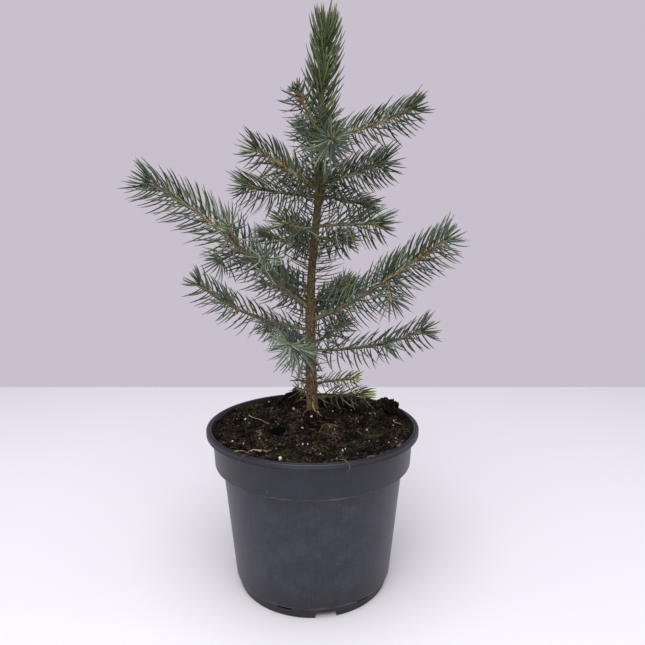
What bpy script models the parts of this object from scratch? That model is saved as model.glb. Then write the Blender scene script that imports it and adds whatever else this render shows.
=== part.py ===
"""Young Colorado blue spruce in a round nursery pot, standing on the pot's flat underside.

The frame is +Z up, in metres, with its origin at the middle of the pot's underside.
A heading is the direction that a shoot leaves the trunk in, seen from above: 0 is +X,
90 is +Y, and minus headings lie on the -Y side. A rise is the slope above the level.
"""
import math
import random
from collections import namedtuple

import bmesh
import bpy
import numpy
from mathutils import Quaternion, Vector, noise

MM = 0.001
GAP = 0.3 * MM
SEED = 5

# Nursery pot
RIM_RADIUS = 95.0 * MM
RIM_INNER_RADIUS = 90.5 * MM
POT_HEIGHT = 146.0 * MM
LIP_HEIGHT = 5.2 * MM
COLLAR_TOP_RADIUS = 89.6 * MM
COLLAR_FOOT_RADIUS = 88.1 * MM
COLLAR_FOOT_HEIGHT = 113.3 * MM
WALL_TOP_RADIUS = 81.1 * MM
WALL_FOOT_RADIUS = 71.3 * MM
WALL_FOOT_HEIGHT = 10.5 * MM
FOOT_RADIUS = 67.9 * MM
WALL = 1.6 * MM
FLOOR_TOP = 5.6 * MM
GROOVE_OUTER_RADIUS = 57.0 * MM
GROOVE_INNER_RADIUS = 43.0 * MM
GROOVE_DEPTH = 4.0 * MM
NOTCHES = 3
FIRST_NOTCH_HEADING = -80.0
NOTCH_WIDTH = 18.0 * MM
NOTCH_HEIGHT = 4.6 * MM
SLOTS = 6
FIRST_SLOT_HEADING = -50.0
SLOT_WIDTH = 15.0 * MM
SLOT_HEIGHT = 2.8 * MM
POT_FACETS = 44

# Potting soil
SOIL_AT_TRUNK = 152.2 * MM
SOIL_AT_WALL = 139.5 * MM
SOIL_AT_FRONT = 143.0 * MM
SOIL_MOUND_WIDTH = 46.0 * MM
SOIL_PAD_RADIUS = 11.0 * MM
SOIL_LUMP_SIZE = 13.0 * MM
SOIL_LUMP_HEIGHT = 1.7 * MM
SOIL_RINGS = 9
SOIL_FACETS = 36

# Trunk: height, sideways lean and radius, from the flat cut at the soil to the tip
TRUNK_SETBACK = 19.0 * MM
TRUNK_FORM = (
    (152.5, -0.6, 7.3),
    (155.5, -0.6, 6.2),
    (162.0, -1.0, 5.6),
    (182.0, -1.8, 5.1),
    (214.0, -2.3, 4.8),
    (240.0, -2.3, 4.45),
    (262.0, -1.9, 3.75),
    (282.0, -1.0, 3.5),
    (300.0, 0.7, 3.45),
    (322.0, 2.9, 3.4),
    (345.0, 5.1, 3.25),
    (367.0, 6.2, 2.9),
    (395.0, 6.8, 2.4),
    (420.0, 7.2, 2.0),
    (445.0, 8.0, 1.8),
    (470.0, 9.5, 1.65),
    (479.0, 10.0, 1.9),
    (485.5, 10.2, 0.6),
)
ROOT_LOBES = 5
ROOT_LOBE_DEPTH = 0.14
ROOT_FLARE_TOP = 163.0 * MM

# Needles, fewer and stouter than life
NEEDLE_LENGTH = 26.0 * MM
NEEDLE_WIDTH = 4.4 * MM
NEEDLE_THICKNESS = 2.0 * MM
NEEDLE_SIDES = 3
NEEDLE_SPACING = 3.5 * MM
GOLDEN_TURN = math.radians(137.5)
LEAN_AT_FOOT = math.radians(60.0)
LEAN_AT_TIP = math.radians(40.0)
LEAN_SWAY = math.radians(17.0)
LEAN_SPREAD = math.radians(5.0)
CROWDED_NEEDLES = (1.0, 0.75, 0.5)
OWN_SPACE_MARGIN = 3.0 * MM
TIP_TUFT = 4
TIP_TUFT_LEAN = math.radians(20.0)

# Shoots
STEM_SIDES_RESOLUTION = 1
STEM_TIP_RADIUS = 1.35 * MM
BUD_RADIUS = 1.75 * MM
BUD_LENGTH = 4.5 * MM
STEM_STEP = 15.0 * MM
BARE_SHARE = 0.12
SLEEVE_WALL = 0.8 * MM
LEADER_FOOT = 406.0 * MM
LEADER_TOP = 480.0 * MM
LEADER_NEEDLE_LENGTH = 31.0 * MM
LEADER_LEANS = (math.radians(50.0), math.radians(30.0))
LEADER_SPACING = 2.3 * MM
TRUNK_TUFT_FOOT = 268.0 * MM
TRUNK_TUFT_TOP = 300.0 * MM
TRUNK_TUFT_LEANS = (math.radians(74.0), math.radians(70.0))
TRUNK_TUFT_SPACING = 2.8 * MM

Spur = namedtuple("Spur", "share heading rise length")
Shoot = namedtuple("Shoot", "name height heading length rise_foot rise_tip foot_radius needles bough spurs")


def shoot(name, height, heading, length, rise, foot_radius=1.5, needles=1.0, bough=0.0, spurs=()):
    """A shoot's own sizes: millimetres and degrees in, metres and radians kept."""
    return Shoot(
        name, height * MM, math.radians(heading), length * MM, math.radians(rise[0]), math.radians(rise[1]),
        foot_radius * MM, needles, bough,
        tuple(Spur(s[0], math.radians(s[1]), math.radians(s[2]), s[3] * MM) for s in spurs),
    )


# The shoots, whorl by whorl from the top; bough is the bare inner share of a main limb
SHOOTS = (
    shoot("top_left", 388, -125, 58, (64, 44), 1.6, 0.85, 0.20),
    shoot("top_right", 397, -9, 83, (8, 24), 1.6, 0.85, 0.20),
    shoot("top_front", 386, -79, 53, (4, 3), 1.6, 0.95, 0.22),
    shoot("top_back", 392, 82, 54, (30, 44), 1.6, 0.90, 0.20),
    shoot("top_back_left", 383, 118, 46, (34, 44), 1.5, 0.80),
    shoot("upper_right", 358, 8, 58, (20, 17), 1.7, 0.90, 0.22),
    shoot("upper_right_back", 349, 38, 61, (-5, -9), 1.5, 0.80),
    shoot("upper_left_front", 353, -149, 67, (23, 34), 1.8, 0.95, 0.22),
    shoot("upper_left", 348, 167, 65, (4, 13), 1.7, 1.0, 0.22),
    shoot("upper_back", 354, 88, 62, (10, 24), 1.7, 0.90, 0.22),
    shoot("upper_back_left", 360, 130, 55, (12, 26), 1.5, 0.85),
    shoot("middle_right", 322, -15, 54, (3, 1), 1.6, 1.0, 0.22),
    shoot("middle_left_front", 317, -122, 46, (6, 13), 1.6, 0.85, 0.22),
    shoot("middle_left", 301, 154, 51, (18, 8), 1.5, 0.80),
    shoot("middle_back_right", 312, 58, 56, (-6, 2), 1.5, 0.85),
    shoot("middle_back", 306, 108, 60, (6, 18), 1.5, 0.90),
    shoot("big_left", 247, -171, 185, (41, 39), 2.4, 1.0, 0.16,
          ((0.31, -84, 16, 36), (0.36, 112, 10, 36), (0.46, 150, -22, 32), (0.48, -90, 22, 40))),
    shoot("big_right", 237, -6, 147, (25, 38), 2.5, 1.0, 0.22,
          ((0.52, 66, 12, 34), (0.56, -88, -24, 34))),
    shoot("short_left", 262, 137, 43, (32, 22), 1.5, 0.60),
    shoot("short_right", 254, 39, 50, (12, 17), 1.5, 0.65),
    shoot("big_back_right", 243, 66, 92, (6, 20), 2.2, 0.90, 0.22, ((0.55, 20, 14, 28),)),
    shoot("big_back_left", 251, 112, 98, (4, 20), 2.2, 0.90, 0.22, ((0.55, 158, 10, 28),)),
    shoot("low_left", 229, -170, 116, (9, 40), 2.2, 0.85, 0.20, ((0.62, 128, 16, 26),)),
    shoot("low_front", 206, -103, 73, (17, 19), 2.0, 0.95, 0.20),
    shoot("low_right", 209, 3, 103, (-2, 20), 2.1, 0.80, 0.24),
    shoot("low_back_right", 215, 62, 82, (0, 16), 2.0, 0.80, 0.22),
    shoot("low_back_left", 219, 124, 86, (-2, 6), 2.0, 0.80, 0.22),
    shoot("foot_left", 177, -150, 22, (22, 23), 1.4, 0.50),
    shoot("foot_right_front", 179, -18, 46, (14, 9), 1.4, 0.50),
    shoot("foot_right", 164, 14, 66, (5, -4), 1.5, 0.70),
    shoot("foot_back", 173, 92, 54, (2, 16), 1.5, 0.65),
    shoot("foot_back_left", 163, 122, 38, (4, 10), 1.5, 0.55),
)


def clear_scene():
    """Take out whatever the open file holds."""
    for thing in list(bpy.data.objects):
        bpy.data.objects.remove(thing, do_unlink=True)


def collection(name):
    """A named collection in the scene."""
    group = bpy.data.collections.new(name)
    bpy.context.scene.collection.children.link(group)
    return group


def finish(name, colour, roughness, metallic=0.0):
    """A plain Principled finish for one piece."""
    material = bpy.data.materials.new(name)
    material.use_nodes = True
    shader = material.node_tree.nodes["Principled BSDF"]
    shader.inputs["Base Color"].default_value = (*colour, 1.0)
    shader.inputs["Roughness"].default_value = roughness
    shader.inputs["Metallic"].default_value = metallic
    return material


def settle(piece, mesh):
    """Give the piece this mesh in place of its own mesh and modifiers."""
    piece.modifiers.clear()
    old = piece.data
    piece.data = mesh
    if old.users == 0:
        bpy.data.meshes.remove(old)


def evaluated_mesh(piece):
    """The piece's mesh with its modifiers done."""
    graph = bpy.context.evaluated_depsgraph_get()
    return bpy.data.meshes.new_from_object(piece.evaluated_get(graph))


def aim(heading, rise):
    """Unit vector along a heading and a rise."""
    level = math.cos(rise)
    return Vector((level * math.cos(heading), level * math.sin(heading), math.sin(rise)))


def trunk_form(height):
    """Centre and radius of the trunk at a height."""
    heights = [row[0] * MM for row in TRUNK_FORM]
    across = numpy.interp(height, heights, [row[1] * MM for row in TRUNK_FORM])
    radius = numpy.interp(height, heights, [row[2] * MM for row in TRUNK_FORM])
    return Vector((across, TRUNK_SETBACK, height)), float(radius)


def walk(start, heading, rise_foot, rise_tip, length):
    """Points of a limb that keeps its heading while its rise turns evenly."""
    steps = max(3, round(length / STEM_STEP))
    points = [start]
    for step in range(steps):
        share = (step + 0.5) / steps
        rise = rise_foot + (rise_tip - rise_foot) * share
        points.append(points[-1] + aim(heading, rise) * (length / steps))
    return points


def point_along(points, share):
    """Place and direction at a share of the way along a row of evenly spaced points."""
    place = share * (len(points) - 1)
    first = min(int(place), len(points) - 2)
    span = points[first + 1] - points[first]
    return points[first] + span * (place - first), span.normalized()


def tube(name, points, radii, group, resolution=STEM_SIDES_RESOLUTION):
    """A closed round limb through the points, with a radius at each."""
    curve = bpy.data.curves.new(name, "CURVE")
    curve.dimensions = "3D"
    curve.bevel_depth = 1.0
    curve.bevel_resolution = resolution
    curve.use_fill_caps = True
    spline = curve.splines.new("POLY")
    spline.points.add(len(points) - 1)
    for knot, point, radius in zip(spline.points, points, radii):
        knot.co = (*point, 1.0)
        knot.radius = radius
    guide = bpy.data.objects.new(name + "_guide", curve)
    group.objects.link(guide)
    bpy.context.view_layer.update()
    mesh = evaluated_mesh(guide)
    bpy.data.objects.remove(guide, do_unlink=True)
    bpy.data.curves.remove(curve)
    body = bmesh.new()
    body.from_mesh(mesh)
    bmesh.ops.remove_doubles(body, verts=body.verts, dist=0.01 * MM)
    bmesh.ops.recalc_face_normals(body, faces=body.faces)
    body.to_mesh(mesh)
    body.free()
    piece = bpy.data.objects.new(name, mesh)
    group.objects.link(piece)
    return piece


def trunk_points(foot, top):
    """Centres and radii of the trunk's rings between two heights."""
    heights = [row[0] * MM for row in TRUNK_FORM if foot + MM < row[0] * MM < top - MM]
    forms = [trunk_form(height) for height in [foot, *heights, top]]
    return [form[0] for form in forms], [form[1] for form in forms]


def flare_roots(mesh):
    """Press root lobes into the foot of a trunk tube, fading out above it."""
    foot_height = TRUNK_FORM[0][0] * MM
    for vertex in mesh.vertices:
        fade = max(0.0, 1.0 - (vertex.co.z - foot_height) / (ROOT_FLARE_TOP - foot_height))
        centre, _ = trunk_form(vertex.co.z)
        out = vertex.co - centre
        out.z = 0.0
        turn = math.atan2(out.y, out.x)
        vertex.co += out * (ROOT_LOBE_DEPTH * fade * fade * math.cos(ROOT_LOBES * turn))


def make_trunk(group):
    """The trunk, whole from its flat cut at the soil to the bud at its tip."""
    points, radii = trunk_points(TRUNK_FORM[0][0] * MM, TRUNK_FORM[-1][0] * MM)
    trunk = tube("trunk", points, radii, group, resolution=4)
    flare_roots(trunk.data)
    trunk.data.materials.append(finish("bark", (0.075, 0.052, 0.032), 0.85))
    trunk.data.shade_smooth()
    return trunk


def make_trunk_room(group):
    """The space that the trunk needs, which every limb and sleeve is cut clear of."""
    points, radii = trunk_points(TRUNK_FORM[0][0] * MM, TRUNK_FORM[-1][0] * MM)
    points[0] = points[0] - Vector((0.0, 0.0, 2 * MM))
    points[-1] = points[-1] + Vector((0.0, 0.0, 2 * GAP))
    room = tube("trunk_room", points, [radius + 1.1 * GAP for radius in radii], group, resolution=4)
    room.hide_render = True
    room.display_type = "WIRE"
    return room


def pot_outline():
    """Half section of the pot: inner floor, inner wall, lip, outer wall and underside."""
    lip_foot = POT_HEIGHT - LIP_HEIGHT
    step = 3.0 * MM
    return (
        (0.0, FLOOR_TOP),
        (FOOT_RADIUS - WALL - MM, FLOOR_TOP),
        (WALL_FOOT_RADIUS - WALL, WALL_FOOT_HEIGHT + MM),
        (WALL_TOP_RADIUS - WALL, COLLAR_FOOT_HEIGHT - MM),
        (COLLAR_FOOT_RADIUS - WALL, COLLAR_FOOT_HEIGHT + step),
        (COLLAR_TOP_RADIUS - WALL, lip_foot + MM),
        (RIM_INNER_RADIUS, POT_HEIGHT - 0.6 * MM),
        (RIM_INNER_RADIUS + 0.6 * MM, POT_HEIGHT),
        (RIM_RADIUS - MM, POT_HEIGHT),
        (RIM_RADIUS, POT_HEIGHT - MM),
        (RIM_RADIUS - 0.3 * MM, lip_foot + 0.5 * MM),
        (RIM_RADIUS - MM, lip_foot),
        (COLLAR_TOP_RADIUS, lip_foot - 0.4 * MM),
        (COLLAR_FOOT_RADIUS, COLLAR_FOOT_HEIGHT + MM),
        (COLLAR_FOOT_RADIUS - MM, COLLAR_FOOT_HEIGHT),
        (WALL_TOP_RADIUS + 0.8 * MM, COLLAR_FOOT_HEIGHT - 1.5 * MM),
        (WALL_TOP_RADIUS, COLLAR_FOOT_HEIGHT - 3.5 * MM),
        (WALL_FOOT_RADIUS, WALL_FOOT_HEIGHT),
        (FOOT_RADIUS + 0.5 * MM, WALL_FOOT_HEIGHT - 1.6 * MM),
        (FOOT_RADIUS, 0.5 * MM),
        (FOOT_RADIUS - 0.5 * MM, 0.0),
        (GROOVE_OUTER_RADIUS, 0.0),
        (GROOVE_OUTER_RADIUS - MM, GROOVE_DEPTH),
        (GROOVE_INNER_RADIUS + MM, GROOVE_DEPTH),
        (GROOVE_INNER_RADIUS, 0.0),
        (0.0, 0.0),
    )


def turned(name, outline, group, facets):
    """A closed body turned from a half section about the Z axis."""
    mesh = bpy.data.meshes.new(name)
    points = [(radius, 0.0, height) for radius, height in outline]
    mesh.from_pydata(points, [(i, i + 1) for i in range(len(points) - 1)], [])
    piece = bpy.data.objects.new(name, mesh)
    group.objects.link(piece)
    turn = piece.modifiers.new("turn", "SCREW")
    turn.steps = facets
    turn.render_steps = facets
    turn.use_merge_vertices = True
    turn.merge_threshold = 0.01 * MM
    bpy.context.view_layer.update()
    settle(piece, evaluated_mesh(piece))
    return piece


def box(name, size, place, heading, group):
    """A box cutter turned to a heading about the Z axis."""
    body = bmesh.new()
    bmesh.ops.create_cube(body, size=1.0)
    bmesh.ops.scale(body, vec=size, verts=body.verts)
    mesh = bpy.data.meshes.new(name)
    body.to_mesh(mesh)
    body.free()
    piece = bpy.data.objects.new(name, mesh)
    turn = Quaternion((0.0, 0.0, 1.0), heading)
    piece.rotation_mode = "QUATERNION"
    piece.rotation_quaternion = turn
    piece.location = turn @ Vector(place)
    piece.hide_render = True
    piece.display_type = "WIRE"
    group.objects.link(piece)
    return piece


def make_pot(group, cutters):
    """The thin moulded pot, with drain notches in its foot and slots above them."""
    pot = turned("nursery_pot", pot_outline(), group, POT_FACETS)
    notch_length = FOOT_RADIUS - GROOVE_OUTER_RADIUS + 6 * MM
    notch_middle = (FOOT_RADIUS + GROOVE_OUTER_RADIUS) / 2 + MM
    slot_depth = 8 * MM
    slot_floor = FLOOR_TOP + 1.2 * MM
    drains = []
    for notch in range(NOTCHES):
        heading = math.radians(FIRST_NOTCH_HEADING + notch * 360.0 / NOTCHES)
        drains.append(box(f"notch_{notch}", (notch_length, NOTCH_WIDTH, 2 * NOTCH_HEIGHT),
                          (notch_middle, 0.0, 0.0), heading, cutters))
    for slot in range(SLOTS):
        heading = math.radians(FIRST_SLOT_HEADING + slot * 360.0 / SLOTS)
        drains.append(box(f"slot_{slot}", (slot_depth, SLOT_WIDTH, SLOT_HEIGHT),
                          (FOOT_RADIUS, 0.0, slot_floor + SLOT_HEIGHT / 2), heading, cutters))
    for drain in drains:
        cut = pot.modifiers.new(drain.name, "BOOLEAN")
        cut.operation = "DIFFERENCE"
        cut.object = drain
    pot.data.materials.append(finish("pot_plastic", (0.014, 0.014, 0.018), 0.45))
    pot.data.shade_smooth()
    pot.data.set_sharp_from_angle(angle=math.radians(30.0))
    return pot


def soil_height(x, y):
    """Height of the soil at a place: a mound at the trunk, sloping to the wall, in lumps."""
    from_trunk = math.hypot(x, y - TRUNK_SETBACK)
    from_middle = math.hypot(x, y)
    front = max(0.0, -y / COLLAR_TOP_RADIUS) * min(1.0, from_middle / COLLAR_TOP_RADIUS)
    edge = SOIL_AT_WALL + (SOIL_AT_FRONT - SOIL_AT_WALL) * front
    mound = (SOIL_AT_TRUNK - edge) * math.exp(-(from_trunk / SOIL_MOUND_WIDTH) ** 2)
    lumps = SOIL_LUMP_HEIGHT * noise.noise(Vector((x, y, 0.0)) / SOIL_LUMP_SIZE)
    ease = min(1.0, max(0.0, (from_trunk - SOIL_PAD_RADIUS) / SOIL_PAD_RADIUS))
    return SOIL_AT_TRUNK + (edge + mound + lumps - SOIL_AT_TRUNK) * ease * ease * (3.0 - 2.0 * ease)


def make_soil(group):
    """The soil that fills the pot, one solid with a lumpy top and a flat pad under the trunk."""
    off = WALL + GAP
    top_radius = COLLAR_TOP_RADIUS - off - 0.5 * MM
    outline = [(top_radius * ring / SOIL_RINGS, SOIL_AT_WALL) for ring in range(SOIL_RINGS + 1)]
    outline += [
        (COLLAR_FOOT_RADIUS - off - 0.4 * MM, COLLAR_FOOT_HEIGHT + 4.2 * MM),
        (WALL_TOP_RADIUS - off - 0.4 * MM, COLLAR_FOOT_HEIGHT - MM),
        (WALL_FOOT_RADIUS - off - 0.4 * MM, WALL_FOOT_HEIGHT + 2 * MM),
        (FOOT_RADIUS - off - 2 * MM, FLOOR_TOP + GAP),
        (0.0, FLOOR_TOP + GAP),
    ]
    soil = turned("potting_soil", outline, group, SOIL_FACETS)
    for vertex in soil.data.vertices:
        if vertex.co.z > SOIL_AT_WALL - 0.01 * MM:
            vertex.co.z = soil_height(vertex.co.x, vertex.co.y)
    soil.data.materials.append(finish("peat", (0.020, 0.015, 0.011), 0.95))
    return soil


def shoot_axes(entry):
    """Rows of points along a shoot and its spurs, each with its foot and tip radii."""
    start, _ = trunk_form(entry.height)
    main = walk(start, entry.heading, entry.rise_foot, entry.rise_tip, entry.length)
    axes = [(main, entry.foot_radius, STEM_TIP_RADIUS)]
    for spur in entry.spurs:
        foot, _ = point_along(main, spur.share)
        row = walk(foot, spur.heading, spur.rise, spur.rise, spur.length)
        axes.append((row, STEM_TIP_RADIUS + 0.1 * MM, STEM_TIP_RADIUS))
    return axes


def part_of(points, first, last):
    """Evenly spaced points between two shares of a row."""
    count = max(3, round((last - first) * (len(points) - 1)) + 1)
    return [point_along(points, first + (last - first) * i / (count - 1))[0] for i in range(count)]


def stem(name, points, foot_radius, tip_radius, group):
    """A tapering stem that ends in a small bud."""
    last, ahead = points[-1], (points[-1] - points[-2]).normalized()
    shares = [i / (len(points) - 1) for i in range(len(points))]
    radii = [foot_radius + (tip_radius - foot_radius) * share for share in shares]
    bud = [last + ahead * BUD_LENGTH * 0.4, last + ahead * BUD_LENGTH]
    return tube(name, points + bud, radii + [BUD_RADIUS, 0.4 * BUD_RADIUS], group)


def needle(root, direction, ahead, length, group):
    """One stout needle: a spike whose long root lies sunk along the middle of the stem."""
    body = bmesh.new()
    bmesh.ops.create_cone(body, cap_ends=True, cap_tris=True, segments=NEEDLE_SIDES,
                          radius1=0.5, radius2=0.0, depth=1.0)
    across = direction.cross(ahead).normalized()
    for vertex in body.verts:
        x, y, z = vertex.co
        foot = ahead * (x * NEEDLE_WIDTH) + across * (y * NEEDLE_THICKNESS)
        vertex.co = root + foot + direction * ((z + 0.5) * length)
    mesh = bpy.data.meshes.new("needle")
    body.to_mesh(mesh)
    body.free()
    piece = bpy.data.objects.new("needle", mesh)
    group.objects.link(piece)
    return piece


def plan_needles(axis, length, chance, first=0.0, leans=(LEAN_AT_FOOT, LEAN_AT_TIP), spacing=NEEDLE_SPACING):
    """Roots, directions and lengths of the needles along one row of points, in a spiral."""
    reach = sum((b - a).length for a, b in zip(axis, axis[1:]))
    count = max(3, int(reach * (1.0 - first) / spacing))
    plan = []
    turn = chance.uniform(0.0, math.tau)
    for index in range(count + TIP_TUFT):
        tuft = index >= count
        share = 1.0 if tuft else first + (1.0 - first) * (index + 0.5) / count
        root, ahead = point_along(axis, share)
        side = ahead.cross(Vector((0.0, 0.0, 1.0)))
        if side.length < 0.2:
            side = ahead.cross(Vector((1.0, 0.0, 0.0)))
        side.normalize()
        turn += math.tau / TIP_TUFT if tuft else GOLDEN_TURN
        out = Quaternion(ahead, turn) @ side
        lean = TIP_TUFT_LEAN if tuft else leans[0] + (leans[1] - leans[0]) * share ** 1.5
        if not tuft:
            lean -= LEAN_SWAY * out.z
        lean += chance.uniform(-LEAN_SPREAD, LEAN_SPREAD)
        direction = ahead * math.cos(lean) + out * math.sin(lean)
        size = length * chance.uniform(0.88, 1.0) * (0.72 if tuft else 1.0 - 0.25 * abs(share - 0.6))
        plan.append((root, direction.normalized(), ahead, size))
    return plan


def spread_points(axes):
    """Points every few millimetres along rows of points, as an array."""
    rows = []
    for points in axes:
        for first, second in zip(points, points[1:]):
            steps = max(1, int((second - first).length / (3 * MM)))
            rows += [first.lerp(second, step / steps) for step in range(steps)]
        rows.append(points[-1])
    return numpy.array([tuple(point) for point in rows])


def nearest(cloud, samples):
    """Distance from each sample to the nearest point of a cloud."""
    return numpy.sqrt(((samples[:, None, :] - cloud[None, :, :]) ** 2).sum(axis=2)).min(axis=1)


def has_room(root, direction, length, own, others, hugs_trunk):
    """Whether a needle stays in its own shoot's space and clear of trunk, soil and pot."""
    samples = numpy.array([tuple(root + direction * length * share) for share in (0.3, 0.5, 0.7, 0.85, 1.0)])
    for x, y, z in samples:
        if z < soil_height(x, y) + NEEDLE_WIDTH:
            return False
        centre, radius = trunk_form(z)
        apart = math.hypot(x - centre.x, y - centre.y)
        if not hugs_trunk and apart < radius + NEEDLE_WIDTH / 2 + GAP:
            return False
    return bool((nearest(own, samples) + OWN_SPACE_MARGIN < nearest(others, samples)).all())


def grow_needles(plan, own, others, group, hugs_trunk=False):
    """Make the planned needles that have room, shortened where the crown is crowded."""
    for root, direction, ahead, length in plan:
        for size in CROWDED_NEEDLES:
            if has_room(root, direction, length * size, own, others, hugs_trunk):
                needle(root, direction, ahead, length * size, group)
                break


def keep_largest(mesh):
    """Drop loose scraps and the skins of sealed hollows, and keep the one outer body."""
    body = bmesh.new()
    body.from_mesh(mesh)
    body.verts.ensure_lookup_table()
    unseen = set(body.verts)
    shells = []
    while unseen:
        shell = [unseen.pop()]
        for vertex in shell:
            for edge in vertex.link_edges:
                other = edge.other_vert(vertex)
                if other in unseen:
                    unseen.discard(other)
                    shell.append(other)
        shells.append(shell)
    shells.sort(key=len)
    for shell in shells[:-1]:
        bmesh.ops.delete(body, geom=shell, context="VERTS")
    body.to_mesh(mesh)
    body.free()


def fuse(base, gathering, room):
    """Join a collection of pieces to the base in one union and cut it clear of the trunk."""
    join = base.modifiers.new("join", "BOOLEAN")
    join.operation = "UNION"
    join.operand_type = "COLLECTION"
    join.collection = gathering
    join.solver = "EXACT"
    clear = base.modifiers.new("clear", "BOOLEAN")
    clear.operation = "DIFFERENCE"
    clear.object = room
    bpy.context.view_layer.update()
    settle(base, evaluated_mesh(base))
    keep_largest(base.data)
    for piece in list(gathering.objects):
        mesh = piece.data
        bpy.data.objects.remove(piece, do_unlink=True)
        bpy.data.meshes.remove(mesh)
    bpy.data.collections.remove(gathering)


def cut_clear(piece, room):
    """Cut one limb clear of the trunk."""
    clear = piece.modifiers.new("clear", "BOOLEAN")
    clear.operation = "DIFFERENCE"
    clear.object = room
    bpy.context.view_layer.update()
    settle(piece, evaluated_mesh(piece))
    keep_largest(piece.data)


def make_bough(entry, axis, group, room, bark):
    """The bare inner limb of a main shoot, from the trunk to the foot of its foliage."""
    points = part_of(axis, 0.0, entry.bough)
    tip_radius = entry.foot_radius + (STEM_TIP_RADIUS - entry.foot_radius) * entry.bough
    radii = numpy.linspace(entry.foot_radius, tip_radius, len(points))
    bough = tube(entry.name + "_bough", points, radii, group)
    cut_clear(bough, room)
    bough.data.materials.append(bark)
    bough.data.shade_smooth()


def make_foliage(entry, axes, own, others, group, room, chance, green):
    """The foliage of one shoot: stem, spurs and needles fused to one body."""
    main, foot_radius, tip_radius = axes[0]
    length = entry.length
    first = entry.bough + GAP / length if entry.bough else 0.0
    start_radius = foot_radius + (tip_radius - foot_radius) * first
    base = stem(entry.name + "_foliage", part_of(main, first, 1.0), start_radius, tip_radius, group)
    gathering = collection(entry.name + "_pieces")
    size = NEEDLE_LENGTH * entry.needles
    plan = plan_needles(main, size, chance, first=max(BARE_SHARE, first + 6 * MM / length))
    for index, (row, spur_foot, spur_tip) in enumerate(axes[1:]):
        stem(f"{entry.name}_spur_{index}", row, spur_foot, spur_tip, gathering)
        plan += plan_needles(row, 0.9 * size, chance, first=BARE_SHARE)
    grow_needles(plan, own, others, gathering)
    fuse(base, gathering, room)
    base.data.materials.append(green)


def make_sleeve(name, foot, top, length, leans, spacing, others, group, room, chance, green):
    """Needles that stand straight on the trunk, held by a thin sleeve cut clear of it."""
    points, radii = trunk_points(foot, top)
    base = tube(name, points, [radius + GAP + SLEEVE_WALL for radius in radii], group, resolution=2)
    gathering = collection(name + "_pieces")
    row = points_between(foot, top)
    plan = plan_needles(row, length, chance, leans=leans, spacing=spacing)
    grow_needles(plan, spread_points([row]), others, gathering, hugs_trunk=True)
    fuse(base, gathering, room)
    base.data.materials.append(green)


def points_between(foot, top):
    """Evenly spaced points along the trunk's middle line between two heights."""
    steps = max(2, round((top - foot) / STEM_STEP))
    return [trunk_form(foot + (top - foot) * step / steps)[0] for step in range(steps + 1)]


def main():
    """Build the pot, the soil and the tree."""
    clear_scene()
    tree = collection("potted_blue_spruce")
    cutters = collection("cutters")
    chance = random.Random(SEED)
    make_pot(tree, cutters)
    make_soil(tree)
    make_trunk(tree)
    room = make_trunk_room(cutters)

    twig_bark = finish("twig_bark", (0.20, 0.11, 0.05), 0.8)
    blue_green = finish("blue_green_needles", (0.085, 0.125, 0.105), 0.6)
    leader_green = finish("leader_needles", (0.080, 0.110, 0.060), 0.6)

    grown = [(entry, shoot_axes(entry)) for entry in SHOOTS]
    clouds = [spread_points([axis[0] for axis in axes]) for _, axes in grown]
    leader_cloud = spread_points([points_between(LEADER_FOOT, LEADER_TOP)])
    tuft_cloud = spread_points([points_between(TRUNK_TUFT_FOOT, TRUNK_TUFT_TOP)])
    stem_clouds = clouds + [leader_cloud, tuft_cloud]

    for index, (entry, axes) in enumerate(grown):
        others = numpy.concatenate([cloud for other, cloud in enumerate(stem_clouds) if other != index])
        if entry.bough:
            make_bough(entry, axes[0][0], tree, room, twig_bark)
        make_foliage(entry, axes, clouds[index], others, tree, room, chance, blue_green)

    near_leader = numpy.concatenate(clouds + [tuft_cloud])
    make_sleeve("leader_foliage", LEADER_FOOT, LEADER_TOP, LEADER_NEEDLE_LENGTH, LEADER_LEANS, LEADER_SPACING,
                near_leader, tree, room, chance, leader_green)
    near_tuft = numpy.concatenate(clouds + [leader_cloud])
    make_sleeve("trunk_needles", TRUNK_TUFT_FOOT, TRUNK_TUFT_TOP, NEEDLE_LENGTH, TRUNK_TUFT_LEANS,
                TRUNK_TUFT_SPACING, near_tuft, tree, room, chance, blue_green)


main()
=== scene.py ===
"""A young Colorado blue spruce in a black nursery pot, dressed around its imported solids."""

import math
from collections import namedtuple

import bmesh
import bpy
import numpy as np
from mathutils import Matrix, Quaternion, Vector, noise


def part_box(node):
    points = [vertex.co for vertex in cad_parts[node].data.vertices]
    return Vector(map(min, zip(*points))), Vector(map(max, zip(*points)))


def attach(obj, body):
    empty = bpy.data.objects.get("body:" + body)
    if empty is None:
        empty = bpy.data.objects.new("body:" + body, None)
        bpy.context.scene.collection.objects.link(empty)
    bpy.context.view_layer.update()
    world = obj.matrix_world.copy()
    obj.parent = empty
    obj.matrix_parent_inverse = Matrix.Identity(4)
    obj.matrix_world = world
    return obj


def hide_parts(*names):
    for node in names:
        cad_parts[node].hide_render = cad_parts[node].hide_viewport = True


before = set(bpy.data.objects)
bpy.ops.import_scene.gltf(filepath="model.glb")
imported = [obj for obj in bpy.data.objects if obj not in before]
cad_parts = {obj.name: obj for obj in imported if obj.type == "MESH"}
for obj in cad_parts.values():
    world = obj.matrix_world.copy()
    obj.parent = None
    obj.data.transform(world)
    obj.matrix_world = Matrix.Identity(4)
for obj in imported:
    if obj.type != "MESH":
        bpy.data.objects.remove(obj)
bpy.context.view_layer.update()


# The camera stands half a metre in front of the pot, level with the middle of the tree,
# and looks down by nine degrees. Its lens is a little wider than a standard one.
MM = 0.001
PICTURE_PX = 645
FOCAL_PX = 560
SENSOR_WIDTH = 36.0
EYE = Vector((8.8, -488.0, 317.0)) * MM
LOOKING_DOWN = math.radians(9.2)


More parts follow.
